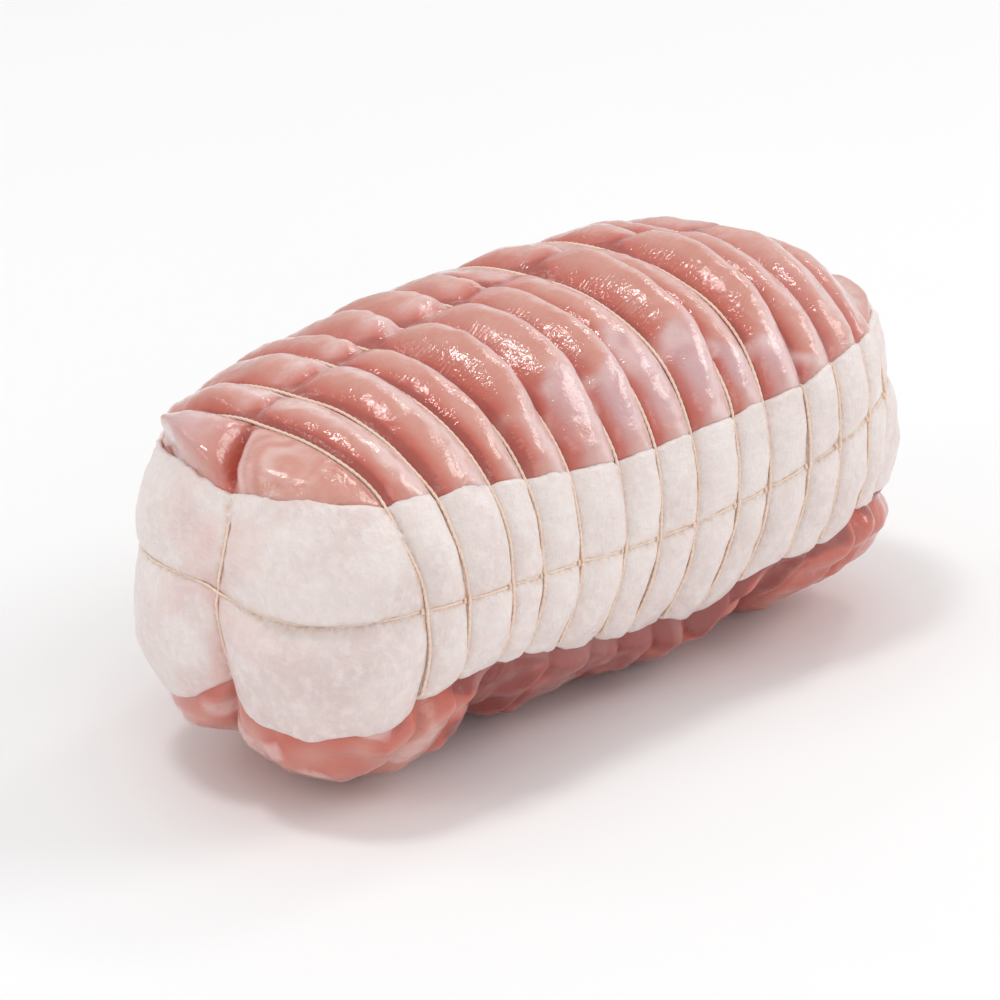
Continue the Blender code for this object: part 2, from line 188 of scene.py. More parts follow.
# Colours that lie over the base colours of the finishes.
MEAT_MOTTLE = (0.64, 0.30, 0.24)
MEAT_BLOOM = (0.72, 0.42, 0.36)
MEAT_FIBRE = (0.74, 0.47, 0.42)
# Painted shade: darkest red for under the belt and the deepest creases.
MEAT_PAINTED_SHADE = (0.25, 0.03, 0.022)
# Pale of membranes and pads, also painted reflection, painted light and a painted highlight.
MEAT_PALE_AND_PAINTED_LIGHT = (0.84, 0.64, 0.62)
FAT_SHADE = (0.81, 0.70, 0.67)
# Mottling, also the painted shade low on the belt's front.
FAT_MOTTLE_AND_SHADE = (0.72, 0.58, 0.56)
FAT_LIGHT = (0.90, 0.83, 0.81)
FAT_STREAK = (0.72, 0.60, 0.57)
# Orange-brown along the strings.
FAT_STRING_EDGE = (0.64, 0.35, 0.20)
TWINE_LIGHT = (0.94, 0.77, 0.64)
FLOOR_COLOURS = ((0.91, 0.91, 0.91), (0.93, 0.93, 0.93))

# Soft boxes: name, place, width and height, and power in watts.
LIGHTS = (
    ("overhead box", (-0.55, 0.22, 2.10), (0.34, 0.34), 9.0),
    ("left box", (-1.85, 0.50, 1.00), (0.4, 0.5), 2.5),
    ("back left box", (-0.66, 1.26, 1.40), (0.4, 0.3), 1.3),
    ("back box", (1.40, 1.65, 1.15), (1.2, 0.7), 1.1),
    ("side box", (1.27, 0.18, 1.53), (0.3, 0.2), 2.4),
    ("fill box", (-1.00, -1.75, 0.90), (1.0, 0.8), 3.5),
    ("far box", (1.55, -1.20, 1.40), (1.0, 1.0), 13.0),
)
LIGHT_AIM = (0.0, 0.0, 0.05)
SURROUNDINGS_STRENGTH = 0.66
FLOOR_REACH = 4.0

# The camera, as fitted to the photograph: angles in degrees, and lengths on the picture in pixels.
CAMERA_HEADING = 43.256
CAMERA_DOWN = 21.144
CAMERA_DISTANCE = 1020.0 * MM
FOCAL_PIXELS = 4345.8
PICTURE_WIDTH = 1000.0
TARGET_OFFSET = (8.446, -29.915)
SENSOR_WIDTH = 36.0


def length_setting(name, description, default):
    """Setting that holds a length."""
    return FloatProperty(name=name, description=description, default=default, unit="LENGTH")


def colour_setting(name, description, default):
    """Setting that holds a colour."""
    return FloatVectorProperty(name=name, description=description, default=default, subtype="COLOR")


class RoastSizes(bpy.types.PropertyGroup):
    """Sizes that can be changed without leaving the solids."""

    belt_thickness: length_setting("Belt thickness", "Thickness of the fat", 2.2 * MM)
    twine_thickness: length_setting("Twine thickness", "Across both plies", 0.80 * MM)
    ply_pitch: length_setting("Ply pitch", "Length of one full twist", 3.4 * MM)
    pucker: length_setting("Pucker", "Spacing of the fine ripples beside the twine", 1.1 * MM)


class RoastColours(bpy.types.PropertyGroup):
    """Colours of the meat, the fat and the twine."""

    meat: colour_setting("Meat", "Salmon of the lobes", (0.60, 0.25, 0.19))
    # Deep meat: red of the creases, partly painted crease shade.
    deep_meat_and_shade: colour_setting("Deep meat", "Red of the creases", (0.55, 0.10, 0.06))
    silverskin: colour_setting("Silverskin", "Lavender membrane", (0.62, 0.40, 0.42))
    fat: colour_setting("Fat", "Pale skin fat", (0.85, 0.76, 0.73))
    blush: colour_setting("Blush", "Rosy patches of the fat", (0.78, 0.52, 0.49))
    twine: colour_setting("Twine", "Tan of the plies", (0.92, 0.70, 0.57))
    twine_shade: colour_setting("Twine shade", "Between the plies", (0.80, 0.50, 0.35))


# Curves that the forms are made of.


def ease(value, reach=1.0):
    """Cubic that eases from 0 to 1 while the value goes from 0 to the reach."""
    t = np.clip(value / reach, 0, 1)
    return t * t * (3 - 2 * t)


def bell(distance, reach):
    """Bell curve: one on a line, and e times less at the reach from it."""
    return np.exp(-((distance / reach) ** 2))


def near_line(distance, reach):
    """One on a line, falling off by e for each reach away from it."""
    return np.exp(-np.abs(distance) / reach)


def between(first, second, share):
    """Value that goes from the first to the second with the share."""
    return first + (second - first) * share


def bulge(share, skew=1.0, power=END_POWER):
    """Nothing at both loops and one between them, with the crest moved on by the skew."""
    return 1 - np.abs(2 * share**skew - 1) ** power


def line_height(line, place):
    """Smooth cubic through the pairs of place and height."""
    places, heights = line[:, 0], line[:, 1]
    slopes = np.gradient(heights, places)
    index = np.clip(np.searchsorted(places, place) - 1, 0, len(places) - 2)
    span = places[index + 1] - places[index]
    t = np.clip((place - places[index]) / span, 0, 1)
    start = (2 * t**3 - 3 * t**2 + 1) * heights[index] + (t**3 - 2 * t**2 + t) * span * slopes[index]
    stop = (3 * t**2 - 2 * t**3) * heights[index + 1] + (t**3 - t**2) * span * slopes[index + 1]
    return start + stop


def waves(points, length, seed, count=22):
    """Smooth unevenness of spread 1: sine waves of wavelengths round the length, in ways drawn by the seed.

    Each field has a seed of its own, so that the fields of the meat, the belt and the loops differ.
    """
    draw = np.random.default_rng(seed)
    ways = draw.normal(size=(count, 3))
    ways /= np.linalg.norm(ways, axis=1, keepdims=True)
    lengths = length * 2 ** draw.uniform(-0.8, 0.8, count)
    phases = draw.uniform(0, 2 * np.pi, count)
    total = np.zeros(points.shape[:-1])
    for way, wavelength, phase in zip(ways, lengths, phases):
        total += np.sin(points @ way * (2 * np.pi / wavelength) + phase)
    return total / math.sqrt(count / 2)


def uneven(points, *layers):
    """Sum of waves, each given by its height and length in millimetres and its seed."""
    return sum(height * MM * waves(points, length * MM, seed) for height, length, seed in layers)


# Form of the loaf.


def end_profile(share, near, far):
    """One in the middle, falling to nothing at both ends: (1 - share^power)^(1/root)."""
    power = np.where(share < 0, near[0], far[0])
    root = np.where(share < 0, near[1], far[1])
    return np.maximum(1 - np.abs(share) ** power, 1e-9) ** (1 / root)


def section(place):
    """Half width, height above and depth below the middle plane at a place along the loaf."""
    share = np.clip(place / HALF_LENGTH, -1, 1)
    width = HALF_WIDTH * end_profile(share, NEAR_END_WIDTH, FAR_END_WIDTH)
    above = HEIGHT_ABOVE * end_profile(share, NEAR_END_HEIGHT, FAR_END_HEIGHT)
    below = DEPTH_BELOW * end_profile(share, NEAR_END_DEPTH, FAR_END_DEPTH)
    wider, taller, deeper = WIDER_AT_FAR_END * share, TALLER_AT_FAR_END * share, DEEPER_AT_FAR_END * share
    return width * (1 + wider), above * (1 + taller), below * (1 + deeper)


def section_points(place, across, up):
    """Points of a section in the direction (across, up) of its round form: each share to the power 2/n."""
    width, above, below = section(place)
    power = 2 / SECTION_ROUNDNESS
    y = width * np.sign(across) * np.abs(across) ** power
    z = np.where(up > 0, above, below) * np.sign(up) * np.abs(up) ** power
    return y, z


def bend(place, y, z):
    """Leans each section the way its loop leans and bows the loaf towards -Y at both ends.

    The front's lower half is also drawn back towards the near end, as far as the loop there slants.
    """
    lean_up = LOOP_LEAN_UP * place * z
    lean_side = (LOOP_LEAN_SIDE * place + LOOP_LEAN_SIDE_MIDDLE) * np.minimum(y, 0)
    lean_low = line_height(LOOP_LEAN_LOW, place) * ease(-z - 2 * MM, 24 * MM) * ease(0.5 - y / (24 * MM))
    bowed = y - BOW * (place / HALF_LENGTH) ** 2
    return np.stack((place + lean_up + lean_side - lean_low, bowed, z), -1)


def fill(place, y, z):
    """One on the loaf's surface and less inside: |y/width|^n + |z/height|^n."""
    width, above, below = section(place)
    height = np.where(z > 0, above, below)
    return np.abs(y / width) ** SECTION_ROUNDNESS + np.abs(z / height) ** SECTION_ROUNDNESS


def outward(place, y, z):
    """Unit normal of the bent loaf: the slope of fill, turned by the inverse of the bend."""
    step = 0.01 * MM
    inside = np.clip(place, -HALF_LENGTH + 2 * step, HALF_LENGTH - 2 * step)
    slope = np.stack((
        fill(inside + step, y, z) - fill(inside - step, y, z),
        fill(inside, y + step, z) - fill(inside, y - step, z),
        fill(inside, y, z + step) - fill(inside, y, z - step),
    ), -1)
    at_pole = fill(inside, y, z) < 0.02
    slope[at_pole] = np.stack((np.sign(place), 0 * y, 0 * z), -1)[at_pole]
    turn = np.zeros(place.shape + (3, 3))
    for axis, (dx, dy, dz) in enumerate(step * np.eye(3)):
        change = bend(place + dx, y + dy, z + dz) - bend(place - dx, y - dy, z - dz)
        turn[..., axis, :] = change / (2 * step)
    normal = np.linalg.solve(turn, slope[..., None])[..., 0]
    return normal / np.linalg.norm(normal, axis=-1, keepdims=True)


def loaf_middle():
    """Where the loaf's middle lies in the part, from the boxes of the loops, which lie on the loaf."""
    shifts = []
    for number, place in enumerate(LOOP_PLACES):
        angle = np.linspace(0, 2 * np.pi, 721)
        y, z = section_points(np.full(angle.shape, place), np.cos(angle), np.sin(angle))
        loop = bend(np.full(angle.shape, place), y, z)
        low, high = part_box(f"twine_loop_{number + 1:02d}")
        shifts.append(0.5 * (np.array(low) + np.array(high)) - 0.5 * (loop.min(0) + loop.max(0)))
    return np.median(shifts, axis=0)


LOAF_MIDDLE = loaf_middle()


def lift(place, y, z, height):
    """Point at a height over the loaf's surface, in the part's frame."""
    return bend(place, y, z) + outward(place, y, z) * height[..., None] + LOAF_MIDDLE


def cells(place):
    """Number of the cell between two loops, the share of it passed, and its size."""
    index = np.clip(np.searchsorted(LOOP_PLACES, place, side="right") - 1, 0, len(LOOP_PLACES) - 2)
    width = LOOP_PLACES[index + 1] - LOOP_PLACES[index]
    share = np.clip((place - LOOP_PLACES[index]) / width, 0, 1)
    return index, share, np.clip(width / FULL_CELL, 0, CELL_LIMIT)


def past_ends(place):
    """Shares of the way from the end loops to the near pole and to the far pole."""
    near = np.clip((LOOP_PLACES[0] - place) / (HALF_LENGTH + LOOP_PLACES[0]), 0, 1)
    far = np.clip((place - LOOP_PLACES[-1]) / (HALF_LENGTH - LOOP_PLACES[-1]), 0, 1)
    return near, far


def loop_distance(place):
    """Distance along the loaf to the nearest loop."""
    return np.abs(place[..., None] - LOOP_PLACES).min(-1)


def groove_side(place, z):
    """How far to the side the lengthwise groove and its string lie, over the top and down the near end."""
    over_top = line_height(TOP_GROOVE_LINE, place) * ease(z, 8 * MM)
    at_near = ease(-74 * MM - place, 8 * MM)
    return between(over_top, line_height(NEAR_END_GROOVE_LINE, z), at_near)


def belt_heights(place, y):
    """Heights of the belt's foot, of the level string and of the belt's top edge."""
    held = np.clip(place, NEAR_RING, FAR_RING)
    foot, string, top = (line_height(line, held) for line in (FAT_FOOT_LINE, STRING_LINE, FAT_TOP_LINE))
    at_near = ease(LOOP_PLACES[0] - place, LOOP_PLACES[0] - NEAR_RING)
    string = string + at_near * line_height(NEAR_END_LEVEL_RISE, y)
    top = top + at_near * line_height(NEAR_END_TOP_RISE, y)
    top = top - BACK_CORNER_DROP * ease(y - 28 * MM, 16 * MM) * ease(-50 * MM - place, 30 * MM)
    foot = foot + at_near * line_height(NEAR_END_FOOT_RISE, y)
    near, far = past_ends(place)
    arch = np.where((near > 0) | (far > 0), 0.7, bulge(cells(place)[1], 1.3, 2.0)) - 0.7
    return foot + 0.3 * MM * arch, string, top + 0.5 * MM * arch


def lobe_rise(z, top):
    """Nothing on the flank above the belt and one over the top of the loaf."""
    return ease(z - top - LOBE_RISE[0], LOBE_RISE[1] - LOBE_RISE[0])


def survey(place, y, z):
    """What the relief and the masks need to know of each point, by name."""
    index, share, width = cells(place)
    near, far = past_ends(place)
    foot, string, top = belt_heights(place, y)
    return SimpleNamespace(
        place=place, y=y, z=z, points=np.stack((place, y, z), -1), index=index, share=share, width=width,
        near=near, far=far, at_end=(near > 0) | (far > 0), foot=foot, string=string, top=top,
        rise=lobe_rise(z, top), from_groove=y - groove_side(place, z), to_loop=loop_distance(place))


def end_swell(sizes, y, past, back_power=END_POWER):
    """Swell past an end loop: the size for the front and for the back, leaving the loop like a cushion."""
    to_back = ease(0.5 + y / (36 * MM))
    power = between(END_POWER, back_power, to_back)
    return between(sizes[0], sizes[1], to_back) * (1 - (1 - past) ** power)


def belt_swell(at):
    """Height of the belt's skin over the smooth loaf: one pillow in each square of the twine."""
    to_back = ease(0.5 + at.y / (40 * MM))
    to_foot = at.z - at.foot
    from_string = at.z - at.string
    side = SIDE_SWELL * (1 - 0.45 * to_back) * at.width * bulge(at.share)
    side = side * (1 - 0.75 * near_line(from_string, 3.5 * MM)) * (1 - 0.45 * near_line(to_foot, 4.0 * MM))
    low = ease(0.5 - from_string / (2 * LONG_GROOVE_WIDTH))
    depth = ease(-from_string, 22 * MM)
    near_hang = 1 + to_back * (0.8 * depth - 0.4)
    far_hang = 0.65 + 0.5 * depth
    near = end_swell(NEAR_END_SWELL, at.y, at.near) * (1 - low)
    near = near + end_swell(NEAR_END_SWELL_LOW, at.y, at.near) * low * near_hang
    far = end_swell(FAR_END_SWELL, at.y, at.far) * (1 - low)
    far = far + end_swell(FAR_END_SWELL_LOW, at.y, at.far) * low * far_hang
    far = far * (1 - 0.2 * near_line(to_foot, 5 * MM))
    end = (near + far) * (1 - near_line(at.from_groove, LONG_GROOVE_WIDTH))
    end = end * (1 - near_line(from_string, LONG_GROOVE_WIDTH))
    return np.where(at.at_end, end, side)


def string_beds(at):
    """Depth of the beds that the loops and the long strings press: a bell curve across each string."""
    beyond = (at.place < LOOP_PLACES[0]) | (at.place > LOOP_PLACES[-1])
    loops = bell(at.to_loop, LOOP_BED_WIDTH)
    level = bell(at.z - at.string, LEVEL_BED_WIDTH)
    upright = bell(at.from_groove, LOOP_BED_WIDTH) * beyond
    return STRING_BED * np.maximum(np.maximum(loops, level), upright)


def top_lobe(at, share):
    """Lobe above the belt: an arch from loop to loop, as high as its cell says, lower on the flank.

    Where the lobe overhangs the next loop, the arch is fuller and its crest lies further on.
    """
    overhang, back = LOBE_OVERHANG[at.index], TOP_SWELL_BACK[at.index]
    over_top = between(TOP_SWELL, TOP_SWELL_MIDDLE, ease(at.y + 12 * MM, 22 * MM))
    over_top = over_top + (back - TOP_SWELL_MIDDLE) * ease(at.y - 8 * MM, 28 * MM)
    flank = between(FLANK_SWELL, np.minimum(back, FLANK_SWELL), at.y > 0)
    arch = between(bulge(share, 0.85, 2.0), bulge(share, 1.35, 2.6), at.rise * overhang)
    height = between(flank, over_top, at.rise * (0.45 + 0.55 * overhang))
    return height * LOBE_SIZE[at.index] * at.width * arch


def under_size(at):
    """Size of the folds under the belt, from their line along the loaf and less towards the back."""
    return line_height(UNDER_LINE, at.place) * (1 - 0.45 * ease(0.5 + at.y / (36 * MM)))


def end_lobes(at, upper):
    """Lobes past the end loops: cushions above the belt, and under it cushions that carry on the folds."""
    shallow = 1 - 1.1 * ease(0.5 + at.y / (20 * MM)) * ease(-at.z - 29 * MM, 11 * MM)
    below_foot = at.foot - at.z
    over = ease(at.z - at.top - 2 * MM, 9 * MM)
    near_up = end_swell(NEAR_END_LOBE, at.y, at.near, NEAR_END_LOBE_POWER)
    near_low = end_swell(NEAR_END_UNDER, at.y, at.near) * shallow
    near_low = near_low + 0.55 * under_size(at) * (1 - at.near) ** END_POWER * (at.near > 0)
    far_up = end_swell(FAR_END_LOBE, at.y, at.far) * (1 - over)
    far_up = far_up + end_swell(FAR_END_LOBE_TOP, at.y, at.far) * over
    far_low = end_swell(FAR_END_UNDER, at.y, at.far) * (0.1 + 0.9 * ease(below_foot, 8 * MM))
    carried = 0.55 * under_size(at) * (1 - at.far) ** END_POWER * (at.far > 0)
    far_low = far_low + carried * ease(below_foot, 9 * MM)
    return np.where(upper, near_up, near_low) + np.where(upper, far_up, far_low)


def groove_pinch(at, upper):
    """Share of a lobe that the lengthwise groove takes away, with a small pad along its back."""
    strength = np.where(upper, 1 - 0.6 * ease(at.place + 10 * MM, 30 * MM) * (at.far == 0), 1)
    pad = np.where(upper & ~at.at_end, PAD_SIZE[at.index], 0)
    pinch = strength * near_line(at.from_groove, 4.2 * MM)
    pinch = pinch - 0.10 * pad * bell(at.from_groove - 4.2 * MM, 2.2 * MM)
    return pinch + 0.16 * pad * bell(at.from_groove - 8.0 * MM, 1.4 * MM)


def lobe_swell(at):
    """Height of a lobe of meat over the smooth loaf: lobes less their pinch, the cleft and the far drop."""
    upper = at.z > 0.5 * (at.foot + at.top)
    wander = 0.025 * waves(at.points, 30 * MM, 2) * 4 * at.share * (1 - at.share)
    share = np.clip(at.share + wander, 0, 1)
    under = under_size(at) * (0.55 + 0.45 * bulge(share, 1.1, 2.6))
    size = np.where(at.at_end, end_lobes(at, upper), np.where(upper, top_lobe(at, share), under))
    cleft = CLEFT_DEPTH * bell(at.from_groove, 2.0 * MM) * upper * (at.near > 0) * ease(at.near, 0.2)
    drop = FAR_TOP_DROP * ease(at.place - 79 * MM, 12 * MM) * ease(at.z - at.top, 5 * MM)
    shoulder = BACK_SHOULDER * bell(at.place + 87 * MM, 6 * MM) * ease(at.y - 20 * MM, 10 * MM) * upper
    return size * (1 - groove_pinch(at, upper)) + shoulder - cleft - drop


def meat_relief(at, thickness):
    """Skin of the meat over the smooth loaf: let in under the belt, and free lobes beyond its edges."""
    belt = belt_swell(at)
    lobe = lobe_swell(at)
    calm = ease(at.to_loop, 3 * MM)
    under = ease(at.foot - at.z, 6 * MM) * (at.z < 0)
    lobe += calm * uneven(at.points, (0.22, 16, 3), (0.08, 5, 4))
    folds = 1.0 * MM * (np.hypot(waves(at.points, 22 * MM, 5), 0.22) - 0.8)
    folds = folds + uneven(at.points, (0.16, 9, 6))
    lobe += under * (0.35 + 0.65 * calm) * folds
    lobe -= string_beds(at)
    beyond = np.maximum(at.z - at.top, at.foot - at.z)
    free = between(belt - LIP_STEP, lobe, ease(beyond, EDGE_RISE))
    covered = belt - thickness - COVER_GAP
    shift = at.rise * LOBE_OVERHANG[at.index] * np.maximum(lobe, 0)
    return between(covered, free, ease(1 + beyond / EDGE_SOFTNESS)), shift


# Masks that the finishes read.


def silverskin(at):
    """Silverskin on the front between its edge and the belt, and the pale smear along that edge."""
    edge = at.top + line_height(SILVERSKIN_REACH, at.place) + uneven(at.points, (1.8, 15, 6)) - at.z
    along = ease(at.place + 45 * MM, 30 * MM) * ease(70 * MM - at.place, 15 * MM) * (at.y < 0) * (at.z > 0)
    silver = ease(edge, 2.0 * MM) * (0.45 + 0.55 * ease(at.z - at.top, 9 * MM)) * along
    smear = bell(edge - 2.2 * MM, 2.2 * MM) * along * ease(0.6 + 0.5 * waves(at.points, 7 * MM, 16))
    return silver, smear


def meat_red_and_shade(at, silver):
    """Red of the creases, of the groove and of each lobe's near side, and of the folds under the belt:
    partly the meat's own red and partly painted shade, and under the belt mostly painted shade.
    """
    side = ~at.at_end
    over_belt = at.z - at.top
    front = ease(0.5 - at.y / (30 * MM))
    # Painted shade: the groove, the creases at the loops and each lobe's near side are made redder as if in
    # shade, over the meat's own red.
    groove = near_line(at.from_groove, 3.0 * MM) * (at.at_end | (at.z > 0))
    near_side = ease(1 - (at.share - 0.05) / 0.4) * side * (0.45 + 0.55 * front * (1 - 0.5 * at.rise))
    far_off = 1 - 0.5 * ease(at.place - 25 * MM, 40 * MM)
    red = 0.5 * near_line(at.to_loop, 1.6 * MM) * side + 0.95 * groove + 0.82 * near_side * far_off
    red = red + 0.16 * ease(at.y - 4 * MM, 16 * MM) * side
    # Painted shade under the belt: darker red towards the middle of the loaf, just below the belt's foot
    # and in the hollows of the under line.
    along = ease(at.place + 72 * MM, 14 * MM) * (1 - 0.5 * ease(at.place - 32 * MM, 12 * MM))
    low = 0.40 + 0.52 * along + 0.3 * ease(1 - (at.foot - at.z) / (5 * MM))
    low = low + 0.12 * waves(at.points, 10 * MM, 8)
    low = low + 0.4 * ease(2 * MM - line_height(UNDER_LINE, at.place), 5 * MM) * side
    red = np.clip(np.where(at.z < 0, low, np.minimum(red, 0.88)), 0, 1)
    # Painted shade in the crease just above the belt at the far end.
    red = red + 0.45 * (at.far > 0) * ease(1 - over_belt / (6 * MM)) * (over_belt > 0)
    return red * (1 - 0.55 * silver * (1 - near_line(at.to_loop, 1.6 * MM)))


def pallor_and_painted_light(at, slope):
    """Pallor of each lobe's far side and crest, of the pads, of the far end and of patches underneath: on
    far sides and crests partly pale membrane and partly a painted reflection of the bright surroundings,
    and towards the far end painted light.
    """
    over_belt = at.z - at.top
    # Far sides and crests: partly pale membrane, partly a painted reflection of the bright surroundings at
    # grazing angles.
    far_side = ease(at.share - 0.35, 0.6) * (1 - at.rise) * ease(0.5 - at.y / (30 * MM))
    crest = ease(0.12 - slope, 0.42) * (1 - 0.3 * ease(at.y - 4 * MM, 14 * MM))
    pad = bell(at.from_groove - 4.6 * MM, 2.4 * MM) * PAD_SIZE[at.index] * bulge(at.share, 1.2, 3.0)
    pale = np.where(at.at_end | (at.z < 0), 0, 0.32 * far_side + 0.85 * crest + 0.8 * pad)
    # Painted light: paler towards the far end, and on the far end above the belt, most in a band just over
    # the belt's edge.
    pale = pale + 0.2 * ease(at.place - 45 * MM, 20 * MM) * (over_belt > 0)
    pale = pale + (at.far > 0) * (over_belt > 0) * (0.1 + 0.6 * bell(over_belt - 5 * MM, 1.4 * MM))
    patches = ease(waves(at.points, 13 * MM, 10) - 0.8, 0.5)
    return pale + (at.z < 0) * patches * (0.1 + 0.5 * ease(-60 * MM - at.place, 10 * MM))


def near_end_pallor_and_highlight(at):
    """Pale rings round a point of the near end's front lobe, the rim beside its cleft, and a painted
    highlight on its back lobe.
    """
    past = at.near > 0
    reach = np.hypot(at.y + 14 * MM, 1.3 * (at.z - 31 * MM))
    rings = np.sin(2 * np.pi * reach / (3.4 * MM) + 1.8 * waves(at.points, 9 * MM, 9))
    swirl = ease(0.5 + 0.5 * rings) * bell(reach - 5 * MM, 5 * MM) * past * (at.z > 0)
    swirl = swirl * (0.3 + 0.7 * ease(at.y + 18 * MM, 8 * MM))
    rim = bell(at.from_groove + 3.6 * MM, 1.1 * MM) * (at.near > 0.1) * (at.z > at.top - 2 * MM)
    # Painted highlight: a pale patch, broken up by waves, on the near end's back lobe.
    painted_highlight = bell(at.y - 13 * MM, 6 * MM) * bell(at.z - 35 * MM, 2.6 * MM) * past
    return 0.6 * swirl + 0.7 * rim + painted_highlight * ease(0.8 + 0.5 * waves(at.points, 3 * MM, 17))


def meat_masks(at, slope):
    """Masks of the meat: red, partly painted shade; silverskin, on the near end's back lobe partly a
    painted reflection; puckers by the loops; and pallor, partly painted reflection, painted light and a
    painted highlight.
    """
    silver, smear = silverskin(at)
    # Silverskin colour over the near end's back lobe above the belt: partly membrane, partly a painted
    # reflection.
    membrane_and_painted_sheen = 0.9 * bell(at.y - 18 * MM, 12 * MM) * (at.near > 0) * (at.z > at.top)
    pucker = bell(at.share - 0.16, 0.10) * ~at.at_end * PUCKERED[at.index] * ease(at.z - at.top, 8 * MM)
    pale = pallor_and_painted_light(at, slope) + near_end_pallor_and_highlight(at) + 0.65 * smear
    return np.stack((meat_red_and_shade(at, silver), np.clip(silver + membrane_and_painted_sheen, 0, 1), pucker, np.clip(pale, 0, 1)), -1)


def belt_masks(at):
    """Masks of the belt: orange-brown beside the strings, the near end's blush, and mottling with painted
    shade low on the front; the last is full.
    """
    at_near = at.place < LOOP_PLACES[0]
    beyond = at_near | (at.place > LOOP_PLACES[-1])
    upright = np.where(beyond, np.abs(at.from_groove), 1.0)
    to_string = np.minimum(loop_distance(at.place + 0.5 * MM), np.abs(at.z - at.string))
    # Orange-brown tone in a narrow band along the strings, a little to one side of each loop.
    string_edge_tone = bell(np.minimum(to_string, upright), 0.8 * MM)
    blush = near_line(at.from_groove - 2 * MM, 10 * MM) * at_near
    blush = blush * ease(0.5 + 0.5 * waves(at.points, 14 * MM, 21))
    mottle_and_low_shade = ease(0.3 + 0.4 * waves(at.points, 18 * MM, 22)) * ease(-40 * MM - at.place, 30 * MM)
    mottle_and_low_shade = mottle_and_low_shade * (1 - 0.7 * ease(at.y - 8 * MM, 10 * MM))
    # Painted shade: the front below the level string darker, as if lit from above.
    mottle_and_low_shade = mottle_and_low_shade + 0.45 * ease(at.string - at.z, 16 * MM) * ease(0.5 - at.y / (30 * MM))
    return np.stack((string_edge_tone, blush, mottle_and_low_shade, np.ones(string_edge_tone.shape)), -1)


# Meshes.


def running_length(steps):
    """Length passed at each point from the steps between them, starting with nothing."""
    return np.concatenate(((0,), np.cumsum(steps)))


def gathered(count):
    """Shares from 0 up to 1 that lie closer together at both ends: share - sin(turn) / (2 turns)."""
    step = np.arange(count) / count
    return step - 0.5 * np.sin(2 * np.pi * step) / (2 * np.pi)


def cap_places(sign, first, count):
    """Places from a loop to the pole of an end, evenly spaced along the end's profile."""
    share = np.linspace(0, 1, 4000)
    place = first + (HALF_LENGTH - first) * (1 - (1 - share) ** 4)
    length = running_length(np.hypot(np.diff(place), np.diff(section(sign * place)[0])))
    return np.interp(np.linspace(0, length[-1], count + 1), length, place)[1:]


def ring_places():
    """Places of the meat's rings: closer beside the loops, and evenly over both ends."""
    near = -cap_places(-1, -LOOP_PLACES[0], CAP_STEPS)[::-1]
    far = cap_places(1, LOOP_PLACES[-1], CAP_STEPS)
    sides = LOOP_PLACES[:-1, None] + np.diff(LOOP_PLACES)[:, None] * gathered(CELL_STEPS)
    return np.concatenate((near, sides.ravel(), LOOP_PLACES[-1:], far))


def spoke_directions():
    """Directions round the section from its lowest point, wider apart behind the belt, and arc lengths."""
    angle = np.linspace(-0.5 * np.pi, 1.5 * np.pi, 20001)
    y, z = section_points(np.zeros(angle.shape), np.cos(angle), np.sin(angle))
    arc = np.hypot(np.diff(y), np.diff(z))
    middle = 0.5 * (z[1:] + z[:-1])
    hidden = (middle > HIDDEN_BAND[0]) & (middle < HIDDEN_BAND[1])
    weighted = running_length(arc * np.where(hidden, HIDDEN_WEIGHT, 1))
    chosen = np.interp(np.arange(SPOKES) / SPOKES * weighted[-1], weighted, angle)
    length = running_length(arc)
    return chosen, np.interp(chosen, angle, length), length[-1]


def make_piece(name, points, faces, material, corners, masks=None):
    """Mesh object at the origin from points and faces, with its own UV map and mask attribute."""
    mesh = bpy.data.meshes.new(name)
    mesh.from_pydata(points.tolist(), [], faces)
    layer = mesh.uv_layers.new(name="surface")
    layer.data.foreach_set("uv", corners.astype(np.float32).ravel())
    if masks is not None:
        layer = mesh.attributes.new("masks", "FLOAT_COLOR", "POINT")
        layer.data.foreach_set("color", masks.astype(np.float32).ravel())
    mesh.shade_smooth()
    mesh.materials.append(material)
    mesh.validate()
    piece = bpy.data.objects.new(name, mesh)
    bpy.context.scene.collection.objects.link(piece)
    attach(piece, "root")
    return piece


def grid_faces(rows, columns, closed_rows):
    """Quads of a grid whose columns close on themselves, and its rows too if asked, with UV steps."""
    last = rows if closed_rows else rows - 1
    row, column = np.meshgrid(np.arange(last), np.arange(columns), indexing="ij")
    row, column = row.ravel(), column.ravel()
    row_steps = np.stack((row, row, row + 1, row + 1), 1)
    column_steps = np.stack((column, column + 1, column + 1, column), 1)
    faces = (row_steps % rows) * columns + column_steps % columns
    return faces, row_steps, column_steps


